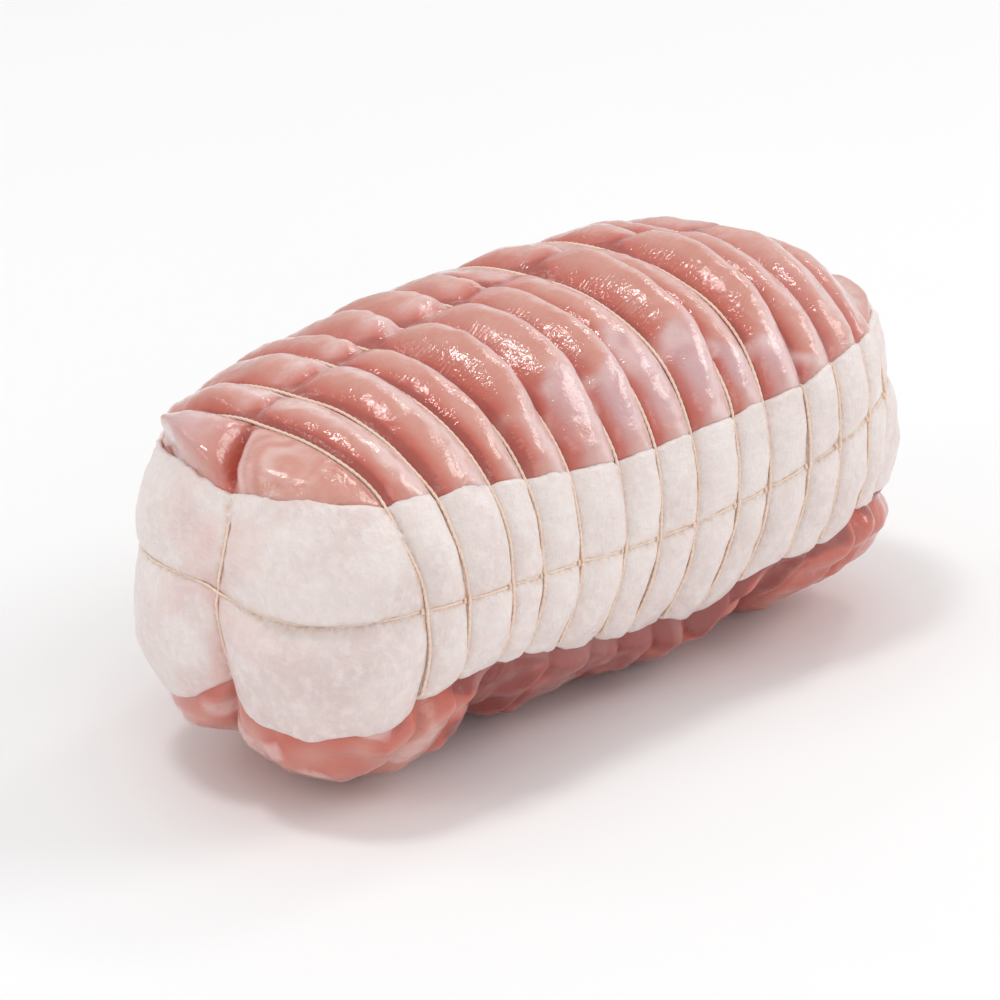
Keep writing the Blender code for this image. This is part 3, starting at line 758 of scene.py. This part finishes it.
def make_meat(sizes, material):
    """Rings round the loaf from pole to pole, each point lifted by the relief along the loaf's normal.

    The lobes lean on over the next loop, and the lowest points are rounded off on the ground.
    """
    places = ring_places()
    angle, arc, whole = spoke_directions()
    place = np.repeat(places[:, None], len(angle), 1)
    y, z = section_points(place, np.cos(angle)[None], np.sin(angle)[None])
    at = survey(place, y, z)
    height, shift = meat_relief(at, sizes.belt_thickness)
    points = lift(place, y, z, height)
    points[..., 0] += LOBE_LEAN * shift * ease(place + 80 * MM, 12 * MM) * ease(84 * MM - place, 12 * MM)
    points[..., 2] = 0.5 * (points[..., 2] + np.sqrt(points[..., 2] ** 2 + REST_ROUNDING**2))
    rows, columns = place.shape
    faces, row_steps, column_steps = grid_faces(rows, columns, False)
    here = np.arange(columns)
    ahead = (here + 1) % columns
    last_ring = (rows - 1) * columns
    near_pole = np.stack((np.full(columns, rows * columns), ahead, here), 1)
    far_pole = np.stack((np.full(columns, rows * columns + 1), last_ring + here, last_ring + ahead), 1)
    all_points = np.concatenate((points.reshape(-1, 3), points[0].mean(0)[None], points[-1].mean(0)[None]))
    all_faces = faces.tolist() + near_pole.tolist() + far_pole.tolist()
    corners = np.stack((np.append(arc, whole)[column_steps], places[row_steps]), -1).reshape(-1, 2)
    corners = np.concatenate((corners, np.zeros((6 * columns, 2))))
    slope = np.gradient(height, axis=0) / np.gradient(places)[:, None]
    masks = meat_masks(at, slope)
    masks = np.concatenate((masks.reshape(-1, 4), masks[0, :1], masks[-1, :1]))
    piece = make_piece("roast_meat", all_points, all_faces, material, corners, masks)
    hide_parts("turkey_meat")


def belt_columns():
    """Columns round the belt: the front from near to far, the far end, the back and the near end."""
    sides = (LOOP_PLACES[:-1, None] + np.diff(LOOP_PLACES)[:, None] * gathered(CELL_STEPS + 2)).ravel()
    before = np.linspace(NEAR_RING, LOOP_PLACES[0], 9)[:-1]
    side = np.concatenate((before, sides, np.linspace(LOOP_PLACES[-1], FAR_RING, 9)))
    across = np.sin(np.linspace(-0.5 * np.pi, 0.5 * np.pi, BELT_END_STEPS)[1:-1])
    across = 0.5 * across + 0.5 * np.linspace(-1, 1, BELT_END_STEPS)[1:-1]
    far, near = np.full(len(across), FAR_RING), np.full(len(across), NEAR_RING)
    front, back = np.full(len(side), -1.0), np.full(len(side), 1.0)
    places = np.concatenate((side, far, side[::-1], near))
    shares = np.concatenate((front, across, back, across[::-1]))
    return places, shares


def end_places(ring, y, z):
    """Place where an end of the loaf passes through y and z, by halving."""
    inner, outer = np.abs(ring), np.full(ring.shape, HALF_LENGTH)
    for _ in range(36):
        middle = 0.5 * (inner + outer)
        inside = fill(np.sign(ring) * middle, y, z) < 1
        inner, outer = np.where(inside, middle, inner), np.where(inside, outer, middle)
    return np.sign(ring) * 0.5 * (inner + outer)


def belt_points(ring, share, z):
    """Section coordinates of belt points: on the sides at their place, on the ends out to the cap."""
    width, above, below = section(ring)
    left = np.maximum(1 - np.abs(z / np.where(z > 0, above, below)) ** SECTION_ROUNDNESS, 0)
    y = share * (width * left ** (1 / SECTION_ROUNDNESS))
    on_end = np.abs(share) < 1
    poles = np.where(on_end, ring, HALF_LENGTH * np.sign(ring))
    return np.where(on_end, end_places(poles, y, z), ring), y, z


def belt_profile(foot, string, top, radius):
    """Heights up the skin, round the top lip, down inside and round the foot, and how far in each lies."""
    lower = np.linspace(0, 1, 30)
    lower = lower + 0.35 * np.sin(2 * np.pi * lower) / (2 * np.pi)
    up_low = (foot + radius) + (string - foot - radius) * lower[:, None]
    up_high = string + (top - radius - string) * lower[1:, None]
    turn = np.linspace(0, np.pi, 9)[1:-1, None]
    inside = (top - radius) + (foot - top + 2 * radius) * np.linspace(0, 1, 12)[:, None]
    over = top - radius + radius * np.sin(turn)
    beneath = foot + radius - radius * np.sin(turn)
    z = np.concatenate((up_low, up_high, over, inside, beneath))
    inward = radius * (1 - np.cos(turn)) + 0 * top
    outwards = radius * (1 + np.cos(turn)) + 0 * top
    return z, np.concatenate((0 * up_low, 0 * up_high, inward, 2 * radius + 0 * inside, outwards))


def make_belt(sizes, material):
    """Closed band: the profile of each column, lifted by the belt's swell less how far in it lies."""
    ring, share = belt_columns()
    side = share * section(ring)[0]
    foot, string, top = belt_heights(ring, side)
    ragged = uneven(np.stack((ring, side, 0 * ring), -1), (0.07, 2.6, 11), (0.22, 11, 12))
    top = top + 0.7 * ragged
    foot = foot + (1.6 - 1.3 * (ring < LOOP_PLACES[0]) * (share > 0)) * ragged
    z, back = belt_profile(foot, string, top, 0.5 * sizes.belt_thickness)
    place, y, z = belt_points(np.broadcast_to(ring, z.shape), np.broadcast_to(share, z.shape), z)
    at = survey(place, y, z)
    skin = belt_swell(at) - string_beds(at) + uneven(at.points, (0.10, 6, 13), (0.22, 15, 14))
    lip = bell(z - top, 1.6 * MM)
    skin = skin + lip * (0.3 * MM + uneven(at.points, (0.18, 2.2, 15)))
    points = lift(place, y, z, skin - back)
    faces, row_steps, column_steps = grid_faces(len(z), len(ring), True)
    row, column = points[20], points[:, 40]
    around = running_length(np.linalg.norm(np.diff(row, axis=0, append=row[:1]), axis=1))
    profile = running_length(np.linalg.norm(np.diff(column, axis=0, append=column[:1]), axis=1))
    corners = np.stack((around[column_steps], profile[row_steps]), -1).reshape(-1, 2)
    masks = belt_masks(at).reshape(-1, 4)
    flat = points.reshape(-1, 3)
    piece = make_piece("roast_fat_belt", flat, faces.tolist(), material, corners, masks)
    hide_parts("fat_band")


def make_twine(name, path, normal, thickness, pitch, material, node, wraps=()):
    """Two plies wound round a closed path: tubes whose middles turn round it once a pitch."""
    ahead = np.roll(path, -1, 0) - np.roll(path, 1, 0)
    tangent = ahead / np.linalg.norm(ahead, axis=1, keepdims=True)
    normal = normal - tangent * (normal * tangent).sum(1, keepdims=True)
    normal /= np.linalg.norm(normal, axis=1, keepdims=True)
    side = np.cross(tangent, normal)
    length = running_length(np.linalg.norm(np.diff(path, axis=0, append=path[:1]), axis=1))
    turns = max(1, round(length[-1] / pitch))
    phase = 2 * np.pi * turns * length[:-1] / length[-1]
    around = np.linspace(0, 2 * np.pi, PLY_SIDES, endpoint=False)
    ring = np.cos(around)[None, :, None] * normal[:, None] + np.sin(around)[None, :, None] * side[:, None]
    quads, row_steps, column_steps = grid_faces(len(path), PLY_SIDES, True)
    uv = np.stack((length[row_steps], column_steps / PLY_SIDES), -1).reshape(-1, 2)
    tubes = []
    for ply in (0, np.pi):
        wound = np.cos(phase + ply)[:, None] * normal + np.sin(phase + ply)[:, None] * side
        middle = path + PLY_REACH * thickness * wound
        tube = middle[:, None] + PLY_RADIUS * thickness * ring
        tubes.append((tube.reshape(-1, 3), quads, uv))
    tubes.extend(wraps)
    starts = np.cumsum([0] + [len(points) for points, _, _ in tubes])
    faces = np.concatenate([faces + start for (_, faces, _), start in zip(tubes, starts)])
    points = np.concatenate([points for points, _, _ in tubes])
    corners = np.concatenate([corners for _, _, corners in tubes])
    piece = make_piece(name, points, faces.tolist(), material, corners)
    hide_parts(node)


def wrap_ring(centre, axis, normal, radius, tube):
    """A small turn of twine round the level string: a ring in the plane across the axis."""
    turn = np.linspace(0, 2 * np.pi, WRAP_STEPS, endpoint=False)
    around = np.linspace(0, 2 * np.pi, PLY_SIDES, endpoint=False)
    out = np.cos(turn)[:, None] * normal + np.sin(turn)[:, None] * np.cross(axis, normal)
    reach = radius * out[:, None] * (1 + tube / radius * np.cos(around)[None, :, None])
    ring = centre + reach + tube * np.sin(around)[None, :, None] * axis
    quads, row_steps, column_steps = grid_faces(WRAP_STEPS, PLY_SIDES, True)
    corners = np.stack((row_steps * radius / 3, column_steps / PLY_SIDES), -1)[:, ::-1].reshape(-1, 2)
    return ring.reshape(-1, 3), quads[:, ::-1], corners


def level_path():
    """Points and normals of the level string round the belt, pressed in under the loops."""
    ring, share = belt_columns()
    string = belt_heights(ring, share * section(ring)[0])[1]
    place, y, z = belt_points(ring, share, string)
    at = survey(place, y, z)
    height = belt_swell(at) - 0.40 * MM - 0.45 * MM * bell(at.to_loop, CROSSING_WIDTH)
    height = height + 0.45 * MM * bell(at.from_groove, 2 * MM) * (np.abs(share) < 1)
    return lift(place, y, z, height), outward(place, y, z)


def loop_height(number, place, y, z):
    """Height of a loop: raised over the level string, sunk under the belt's foot and near the far end."""
    from_string = line_height(STRING_LINE, place) - z
    crossing = bell(from_string, 1.5 * MM) + 1.8 * ease(from_string, 12 * MM) * (y < 0)
    under = ease(line_height(FAT_FOOT_LINE, place) + SUNK_UNDER - z, SUNK_UNDER)
    hollow = min(line_height(UNDER_LINE, LOOP_PLACES[number]), 0)
    height = 0.25 * MM * crossing - (SUNK_UNDER - hollow) * under
    top = line_height(FAT_TOP_LINE, place)
    sunk = between(SUNK_LOOPS[number], SUNK_LOOPS_OVER_TOP[number], lobe_rise(z, top))
    height = height - sunk * ease(z - top + 1.6 * MM, 2 * MM)
    if number == 0:
        height = height - BACK_SHOULDER * ease(z - 12 * MM, 6 * MM) * ease(y - 18 * MM, 10 * MM)
    return height


def make_loops(sizes, material):
    """The loops: each goes round its section on the smooth loaf, with a small wrap at both crossings."""
    level, level_normal = level_path()
    angle, arc, whole = spoke_directions()
    even = np.arange(LOOP_STEPS) / LOOP_STEPS * whole
    angle = np.interp(even, np.append(arc, whole), np.append(angle, 1.5 * np.pi))
    for number, loop_place in enumerate(LOOP_PLACES):
        place = np.full(angle.shape, loop_place)
        y, z = section_points(place, np.cos(angle), np.sin(angle))
        place = place + uneven(np.stack((place, y, z), -1), (0.22, 22, 30 + number))
        y, z = section_points(place, np.cos(angle), np.sin(angle))
        path = lift(place, y, z, loop_height(number, place, y, z))
        off_level = np.abs(z - line_height(STRING_LINE, place))
        bowed = level[:, 1] - LOAF_MIDDLE[1] + BOW * (loop_place / HALF_LENGTH) ** 2
        size = BIG_WRAP_SIZE if number == BIG_WRAP else WRAP_SIZE
        wraps = []
        for sign in (-1, 1):
            crossing = path[np.argmin(off_level + (np.sign(y) != sign)), 0] - 1.3 * MM
            nearest = int(np.argmin(np.abs(level[:, 0] - crossing) + (np.sign(bowed) != sign)))
            along = level[nearest + 1] - level[nearest - 1]
            along /= np.linalg.norm(along)
            out = level_normal[nearest]
            wraps.append(wrap_ring(level[nearest], along, out, size * WRAP_RADIUS, size * WRAP_TUBE))
        name = f"loop_{number + 1:02d}"
        make_twine(f"roast_{name}", path, outward(place, y, z), sizes.twine_thickness, sizes.ply_pitch,
                   material, f"twine_{name}", wraps)


def make_level_string(sizes, material):
    """The level string, a little thinner and more slackly twisted than the loops."""
    path, normal = level_path()
    make_twine("roast_level_string", path, normal, LONG_STRING_THICKNESS * sizes.twine_thickness,
               LEVEL_STRING_PITCH * sizes.ply_pitch, material, "twine_level")


def make_upright_string(sizes, material):
    """The upright string: along the lengthwise groove over the top, down both ends and under the loaf.

    It dips under each loop and under the level string, and lies deep in the cleft of the near end.
    """
    places = ring_places()
    place = np.concatenate((places, places[::-1]))
    width, above, below = section(place)
    z = np.concatenate((above[: len(places)], -below[len(places):]))
    y = groove_side(place, z)
    left = np.maximum(1 - np.abs(np.clip(y / width, -1, 1)) ** SECTION_ROUNDNESS, 0)
    z = z * left ** (1 / SECTION_ROUNDNESS)
    _, string, top = belt_heights(place, y)
    near = ease(LOOP_PLACES[0] - place, 3 * MM)
    low = ease(string - z, 3 * MM) - 3.2 * ease(string - 15 * MM - z, 5 * MM)
    height = -0.35 * MM + near * (0.25 + 0.35 * low) * MM
    height = height - 0.6 * MM * bell(loop_distance(place), CROSSING_WIDTH)
    height = height - 3.6 * MM * near * ease(z - top + 6 * MM, 3 * MM)
    height = height - 0.35 * MM * bell(z - string, 2 * MM)
    make_twine("roast_upright_string", lift(place, y, z, height), outward(place, y, z),
               LONG_STRING_THICKNESS * sizes.twine_thickness, sizes.ply_pitch, material, "twine_upright")


# Finishes.


def give(tree, socket, value):
    """Links another node's output to the input, or writes a number or a colour into it."""
    if isinstance(value, bpy.types.NodeSocket):
        tree.links.new(value, socket)
    else:
        socket.default_value = value


def put(tree, kind, settings=None, **inputs):
    """Adds a node, sets its own settings, and gives each named input a value or another node's output."""
    made = tree.nodes.new(kind)
    for key, value in (settings or {}).items():
        setattr(made, key, value)
    for key, value in inputs.items():
        give(tree, made.inputs[key], value)
    return made


def blend(tree, share, first, second):
    """Colour between two colours."""
    made = put(tree, "ShaderNodeMix", {"data_type": "RGBA"})
    for number, value in ((0, share), (6, first), (7, second)):
        give(tree, made.inputs[number], value)
    return made.outputs[2]


def times(tree, first, second):
    """Product of two values."""
    made = put(tree, "ShaderNodeMath", {"operation": "MULTIPLY"})
    give(tree, made.inputs[0], first)
    give(tree, made.inputs[1], second)
    return made.outputs[0]


def layered(tree, base, *layers):
    """Colour under layers, each given by where it shows, its strength and its colour."""
    for share, strength, tint in layers:
        base = blend(tree, times(tree, share, strength), base, (*tint, 1.0))
    return base


def cloud(tree, where, size, detail=3.0, roughness=0.55):
    """Noise of a size in metres, from 0 to 1."""
    made = put(tree, "ShaderNodeTexNoise", Vector=where, Scale=1 / size, Detail=detail, Roughness=roughness)
    return made.outputs["Fac"]


def window(tree, value, low, high):
    """Eases from 0 to 1 while the value goes from low to high."""
    made = put(tree, "ShaderNodeMapRange", {"interpolation_type": "SMOOTHSTEP"}, Value=value)
    made.inputs["From Min"].default_value = low
    made.inputs["From Max"].default_value = high
    return made.outputs[0]


def spread(tree, value, low, high):
    """Goes from low to high while the value goes from 0 to 1."""
    made = put(tree, "ShaderNodeMapRange", Value=value)
    made.inputs["To Min"].default_value = low
    made.inputs["To Max"].default_value = high
    return made.outputs[0]


def stretched(tree, where, scale):
    """Coordinates squeezed by a factor along each axis."""
    return put(tree, "ShaderNodeMapping", Vector=where, Scale=scale).outputs[0]


def bumps(tree, *layers):
    """Chain of bump nodes from pairs of height and depth in metres."""
    normal = None
    for height, depth in layers:
        made = put(tree, "ShaderNodeBump", Height=height, Strength=1.0, Distance=depth)
        if normal:
            give(tree, made.inputs["Normal"], normal)
        normal = made.outputs[0]
    return normal


def read_masks(tree):
    """The four masks of the mesh."""
    masks = put(tree, "ShaderNodeAttribute", {"attribute_name": "masks"})
    parts = put(tree, "ShaderNodeSeparateColor", Color=masks.outputs["Color"]).outputs
    return parts[0], parts[1], parts[2], masks.outputs["Alpha"]


def start_finish(name, numbers):
    """New material with the numbers of its shader, and the coordinates of the object and of its surface."""
    made = bpy.data.materials.new(name)
    made.use_nodes = True
    tree = made.node_tree
    shader = tree.nodes["Principled BSDF"]
    for key, value in numbers.items():
        shader.inputs[key].default_value = value
    where = put(tree, "ShaderNodeTexCoord").outputs["Object"]
    surface = put(tree, "ShaderNodeUVMap", {"uv_map": "surface"}).outputs[0]
    return made, tree, shader, where, surface


def meat_finish(colours, sizes):
    """Wet, translucent meat: salmon with mottling, redder creases partly painted shade, darker painted
    shade under the belt, lavender silverskin with a painted reflection, pale parts with painted reflection,
    painted light and a painted highlight, fibres and puckers.
    """
    made, tree, shader, where, surface = start_finish("wet raw meat", {
        "Subsurface Weight": 0.35, "Subsurface Radius": (1.0, 0.32, 0.22), "Subsurface Scale": 3.0 * MM,
        "Specular IOR Level": 0.35, "Coat Weight": 0.9, "Coat IOR": 1.65, "Coat Roughness": 0.04})
    red, silver, pucker, pale = read_masks(tree)
    fine = cloud(tree, where, 3.5 * MM, 4.0)
    fibres = cloud(tree, stretched(tree, surface, (1.0, 0.15, 1.0)), 0.7 * MM)
    veil = times(tree, silver, window(tree, cloud(tree, where, 9 * MM, 4.0), 0.1, 0.6))
    deep = times(tree, window(tree, red, 0.0, 0.9), window(tree, cloud(tree, where, 8 * MM), 0.0, 0.5))
    pale_and_painted_light = times(tree, pale, window(tree, cloud(tree, where, 4 * MM, 4.0), 0.1, 0.55))
    base = layered(
        tree, (*colours.meat, 1.0),
        (window(tree, cloud(tree, where, 14 * MM), 0.3, 0.7), 1.0, MEAT_MOTTLE),
        (window(tree, fine, 0.45, 0.75), 0.18, MEAT_BLOOM),
        (window(tree, fibres, 0.5, 0.8), 0.22, MEAT_FIBRE),
        (veil, 0.8, colours.silverskin),
        # Crease red: partly the meat's own red, partly painted shade.
        (deep, 1.0, colours.deep_meat_and_shade),
        # Painted shade: the darkest red where the red mask is highest, mostly under the belt.
        (window(tree, red, 0.72, 1.0), 0.85, MEAT_PAINTED_SHADE),
        # Pale membranes and pads, with painted reflection on crests and far sides, painted light towards
        # the far end and a painted highlight on the near end.
        (pale_and_painted_light, 0.8, MEAT_PALE_AND_PAINTED_LIGHT))
    give(tree, shader.inputs["Base Color"], base)
    give(tree, shader.inputs["Roughness"], spread(tree, fine, 0.4, 0.6))
    ripple = put(tree, "ShaderNodeTexWave", {"bands_direction": "X"}, Vector=surface,
                 Scale=0.314 / sizes.pucker, Distortion=4.0, Detail=2.0)
    ripple.inputs["Detail Scale"].default_value = 1.5
    puckered = times(tree, pucker, window(tree, cloud(tree, where, 7 * MM), 0.46, 0.62))
    ripples = times(tree, ripple.outputs["Fac"], puckered)
    grain = cloud(tree, where, 1.1 * MM)
    normal = bumps(tree, (fine, 0.32 * MM), (grain, 0.11 * MM), (fibres, 0.05 * MM), (ripples, 0.19 * MM))
    give(tree, shader.inputs["Normal"], normal)
    give(tree, shader.inputs["Coat Normal"], normal)
    return made


def fat_finish(colours):
    """Satin skin fat: pinkish white with faint mottling, painted shade low on the front, rosy blushes and
    orange-brown beside the twine.
    """
    made, tree, shader, where, surface = start_finish("pale skin fat", {
        "Subsurface Weight": 0.3, "Subsurface Radius": (1.0, 0.55, 0.45), "Subsurface Scale": 2.0 * MM,
        "Coat Weight": 0.15, "Coat Roughness": 0.25})
    string_edge_tone, blush, mottle_and_low_shade, _ = read_masks(tree)
    fine = cloud(tree, where, 2.4 * MM, 4.0)
    streaks = cloud(tree, stretched(tree, surface, (1.0, 0.3, 1.0)), 0.9 * MM)
    base = layered(
        tree, (*colours.fat, 1.0),
        (window(tree, cloud(tree, where, 16 * MM), 0.35, 0.7), 1.0, FAT_SHADE),
        # Mottling, with painted shade low on the front.
        (mottle_and_low_shade, 0.7, FAT_MOTTLE_AND_SHADE),
        (window(tree, fine, 0.4, 0.7), 0.5, FAT_LIGHT),
        (window(tree, streaks, 0.5, 0.75), 0.3, FAT_STREAK),
        (blush, 0.85, colours.blush),
        (times(tree, string_edge_tone, window(tree, cloud(tree, where, 1.6 * MM, 2.0), 0.35, 0.65)), 0.75, FAT_STRING_EDGE))
    give(tree, shader.inputs["Base Color"], base)
    give(tree, shader.inputs["Roughness"], spread(tree, fine, 0.38, 0.6))
    wrinkles = cloud(tree, stretched(tree, surface, (0.6, 1.0, 1.0)), 2.0 * MM, 4.0)
    grain = cloud(tree, where, 0.7 * MM, 2.0)
    normal = bumps(tree, (fine, 0.35 * MM), (wrinkles, 0.5 * MM), (streaks, 0.2 * MM), (grain, 0.14 * MM))
    give(tree, shader.inputs["Normal"], normal)
    return made


def twine_finish(colours):
    """Tan plies with fine fibres along them, darker where they meet."""
    made, tree, shader, where, surface = start_finish("damp twine", {
        "Roughness": 0.6, "Subsurface Weight": 0.1, "Subsurface Scale": 0.4 * MM})
    fibres = cloud(tree, stretched(tree, surface, (1.0, 0.004, 1.0)), 0.6 * MM)
    base = layered(
        tree, (*colours.twine, 1.0),
        (window(tree, cloud(tree, where, 6 * MM), 0.3, 0.7), 1.0, TWINE_LIGHT),
        (window(tree, fibres, 0.45, 0.7), 0.6, colours.twine_shade))
    give(tree, shader.inputs["Base Color"], base)
    give(tree, shader.inputs["Normal"], bumps(tree, (fibres, 0.08 * MM)))
    return made


# Stage.


def make_floor():
    """Pale square floor, with a faint unevenness of its colour."""
    mesh = bpy.data.meshes.new("floor")
    corners = [(x * FLOOR_REACH, y * FLOOR_REACH, 0) for x, y in ((-1, -1), (1, -1), (1, 1), (-1, 1))]
    mesh.from_pydata(corners, [], [(0, 1, 2, 3)])
    made, tree, shader, where, _ = start_finish("pale floor", {"Roughness": 0.7})
    light, lighter = FLOOR_COLOURS
    base = layered(tree, (*light, 1.0), (cloud(tree, where, 0.3), 1.0, lighter))
    give(tree, shader.inputs["Base Color"], base)
    mesh.materials.append(made)
    floor = bpy.data.objects.new("floor", mesh)
    bpy.context.scene.collection.objects.link(floor)


def turned(place, ahead):
    """Matrix of a thing at a place that looks ahead along its own -Z."""
    return Matrix.Translation(place) @ ahead.to_track_quat("-Z", "Y").to_matrix().to_4x4()


def make_light(name, place, size, power):
    """Soft box at a place, turned towards the roast."""
    data = bpy.data.lights.new(name, "AREA")
    data.shape = "RECTANGLE"
    data.size, data.size_y = size
    data.energy = power
    made = bpy.data.objects.new(name, data)
    bpy.context.scene.collection.objects.link(made)
    made.matrix_world = turned(place, Vector(LIGHT_AIM) - Vector(place))


def make_camera():
    """Camera of the photograph: a long lens about a metre away, looking down at 21 degrees."""
    heading, down = math.radians(CAMERA_HEADING), math.radians(CAMERA_DOWN)
    level = math.cos(down)
    ahead = Vector((math.cos(heading) * level, math.sin(heading) * level, -math.sin(down)))
    right = Vector((math.sin(heading), -math.cos(heading), 0))
    up = right.cross(ahead)
    loaf = Vector(LOAF_MIDDLE)
    eye = loaf - ahead * CAMERA_DISTANCE
    aside, above = TARGET_OFFSET
    target = loaf + (right * aside + up * above) / FOCAL_PIXELS * CAMERA_DISTANCE
    data = bpy.data.cameras.new("photograph")
    data.sensor_width = SENSOR_WIDTH
    data.lens = SENSOR_WIDTH * FOCAL_PIXELS / PICTURE_WIDTH
    data.clip_start, data.clip_end = 0.05, 20.0
    camera = bpy.data.objects.new("photograph", data)
    bpy.context.scene.collection.objects.link(camera)
    camera.matrix_world = turned(eye, target - eye)
    bpy.context.scene.camera = camera


def make_stage():
    """Pale floor, white surroundings, soft boxes, and the camera at the photograph's angle."""
    make_floor()
    world = bpy.data.worlds.new("white surroundings")
    world.use_nodes = True
    background = world.node_tree.nodes["Background"]
    background.inputs["Color"].default_value = (1.0, 1.0, 1.0, 1.0)
    background.inputs["Strength"].default_value = SURROUNDINGS_STRENGTH
    bpy.context.scene.world = world
    bpy.context.scene.view_settings.view_transform = "Standard"
    for light in LIGHTS:
        make_light(*light)
    make_camera()


# Add-on.


class ROAST_OT_meat(bpy.types.Operator):
    """Make the rolled meat with its lobes"""

    bl_idname = "roast.meat"
    bl_label = "Meat"

    def execute(self, context):
        sizes = context.scene.roast_sizes
        make_meat(sizes, meat_finish(context.scene.roast_colours, sizes))
        return {"FINISHED"}


class ROAST_OT_belt(bpy.types.Operator):
    """Make the belt of skin fat"""

    bl_idname = "roast.belt"
    bl_label = "Fat belt"

    def execute(self, context):
        make_belt(context.scene.roast_sizes, fat_finish(context.scene.roast_colours))
        return {"FINISHED"}


class ROAST_OT_twine(bpy.types.Operator):
    """Make the loops and both long strings"""

    bl_idname = "roast.twine"
    bl_label = "Twine"

    def execute(self, context):
        material = twine_finish(context.scene.roast_colours)
        make_loops(context.scene.roast_sizes, material)
        make_level_string(context.scene.roast_sizes, material)
        make_upright_string(context.scene.roast_sizes, material)
        return {"FINISHED"}


class ROAST_OT_stage(bpy.types.Operator):
    """Make the floor, the lights and the camera"""

    bl_idname = "roast.stage"
    bl_label = "Stage"

    def execute(self, context):
        make_stage()
        return {"FINISHED"}


class ROAST_PT_panel(bpy.types.Panel):
    """Sizes, colours and pieces of the roast"""

    bl_idname = "ROAST_PT_panel"
    bl_label = "Roast"
    bl_space_type = "VIEW_3D"
    bl_region_type = "UI"
    bl_category = "Roast"

    def draw(self, context):
        for group in (context.scene.roast_sizes, context.scene.roast_colours):
            for name in group.__annotations__:
                self.layout.prop(group, name)
        for operator in (ROAST_OT_meat, ROAST_OT_belt, ROAST_OT_twine, ROAST_OT_stage):
            self.layout.operator(operator.bl_idname)


CLASSES = (
    RoastSizes, RoastColours, ROAST_OT_meat, ROAST_OT_belt, ROAST_OT_twine, ROAST_OT_stage, ROAST_PT_panel)


def register():
    """Adds the classes and the roast's settings."""
    for cls in CLASSES:
        bpy.utils.register_class(cls)
    bpy.types.Scene.roast_sizes = PointerProperty(type=RoastSizes)
    bpy.types.Scene.roast_colours = PointerProperty(type=RoastColours)


def unregister():
    """Takes away the roast's settings and the classes."""
    del bpy.types.Scene.roast_colours
    del bpy.types.Scene.roast_sizes
    for cls in reversed(CLASSES):
        bpy.utils.unregister_class(cls)


def main():
    """Makes every piece and the stage."""
    register()
    bpy.ops.roast.meat()
    bpy.ops.roast.belt()
    bpy.ops.roast.twine()
    bpy.ops.roast.stage()


if __name__ == "__main__":
    main()
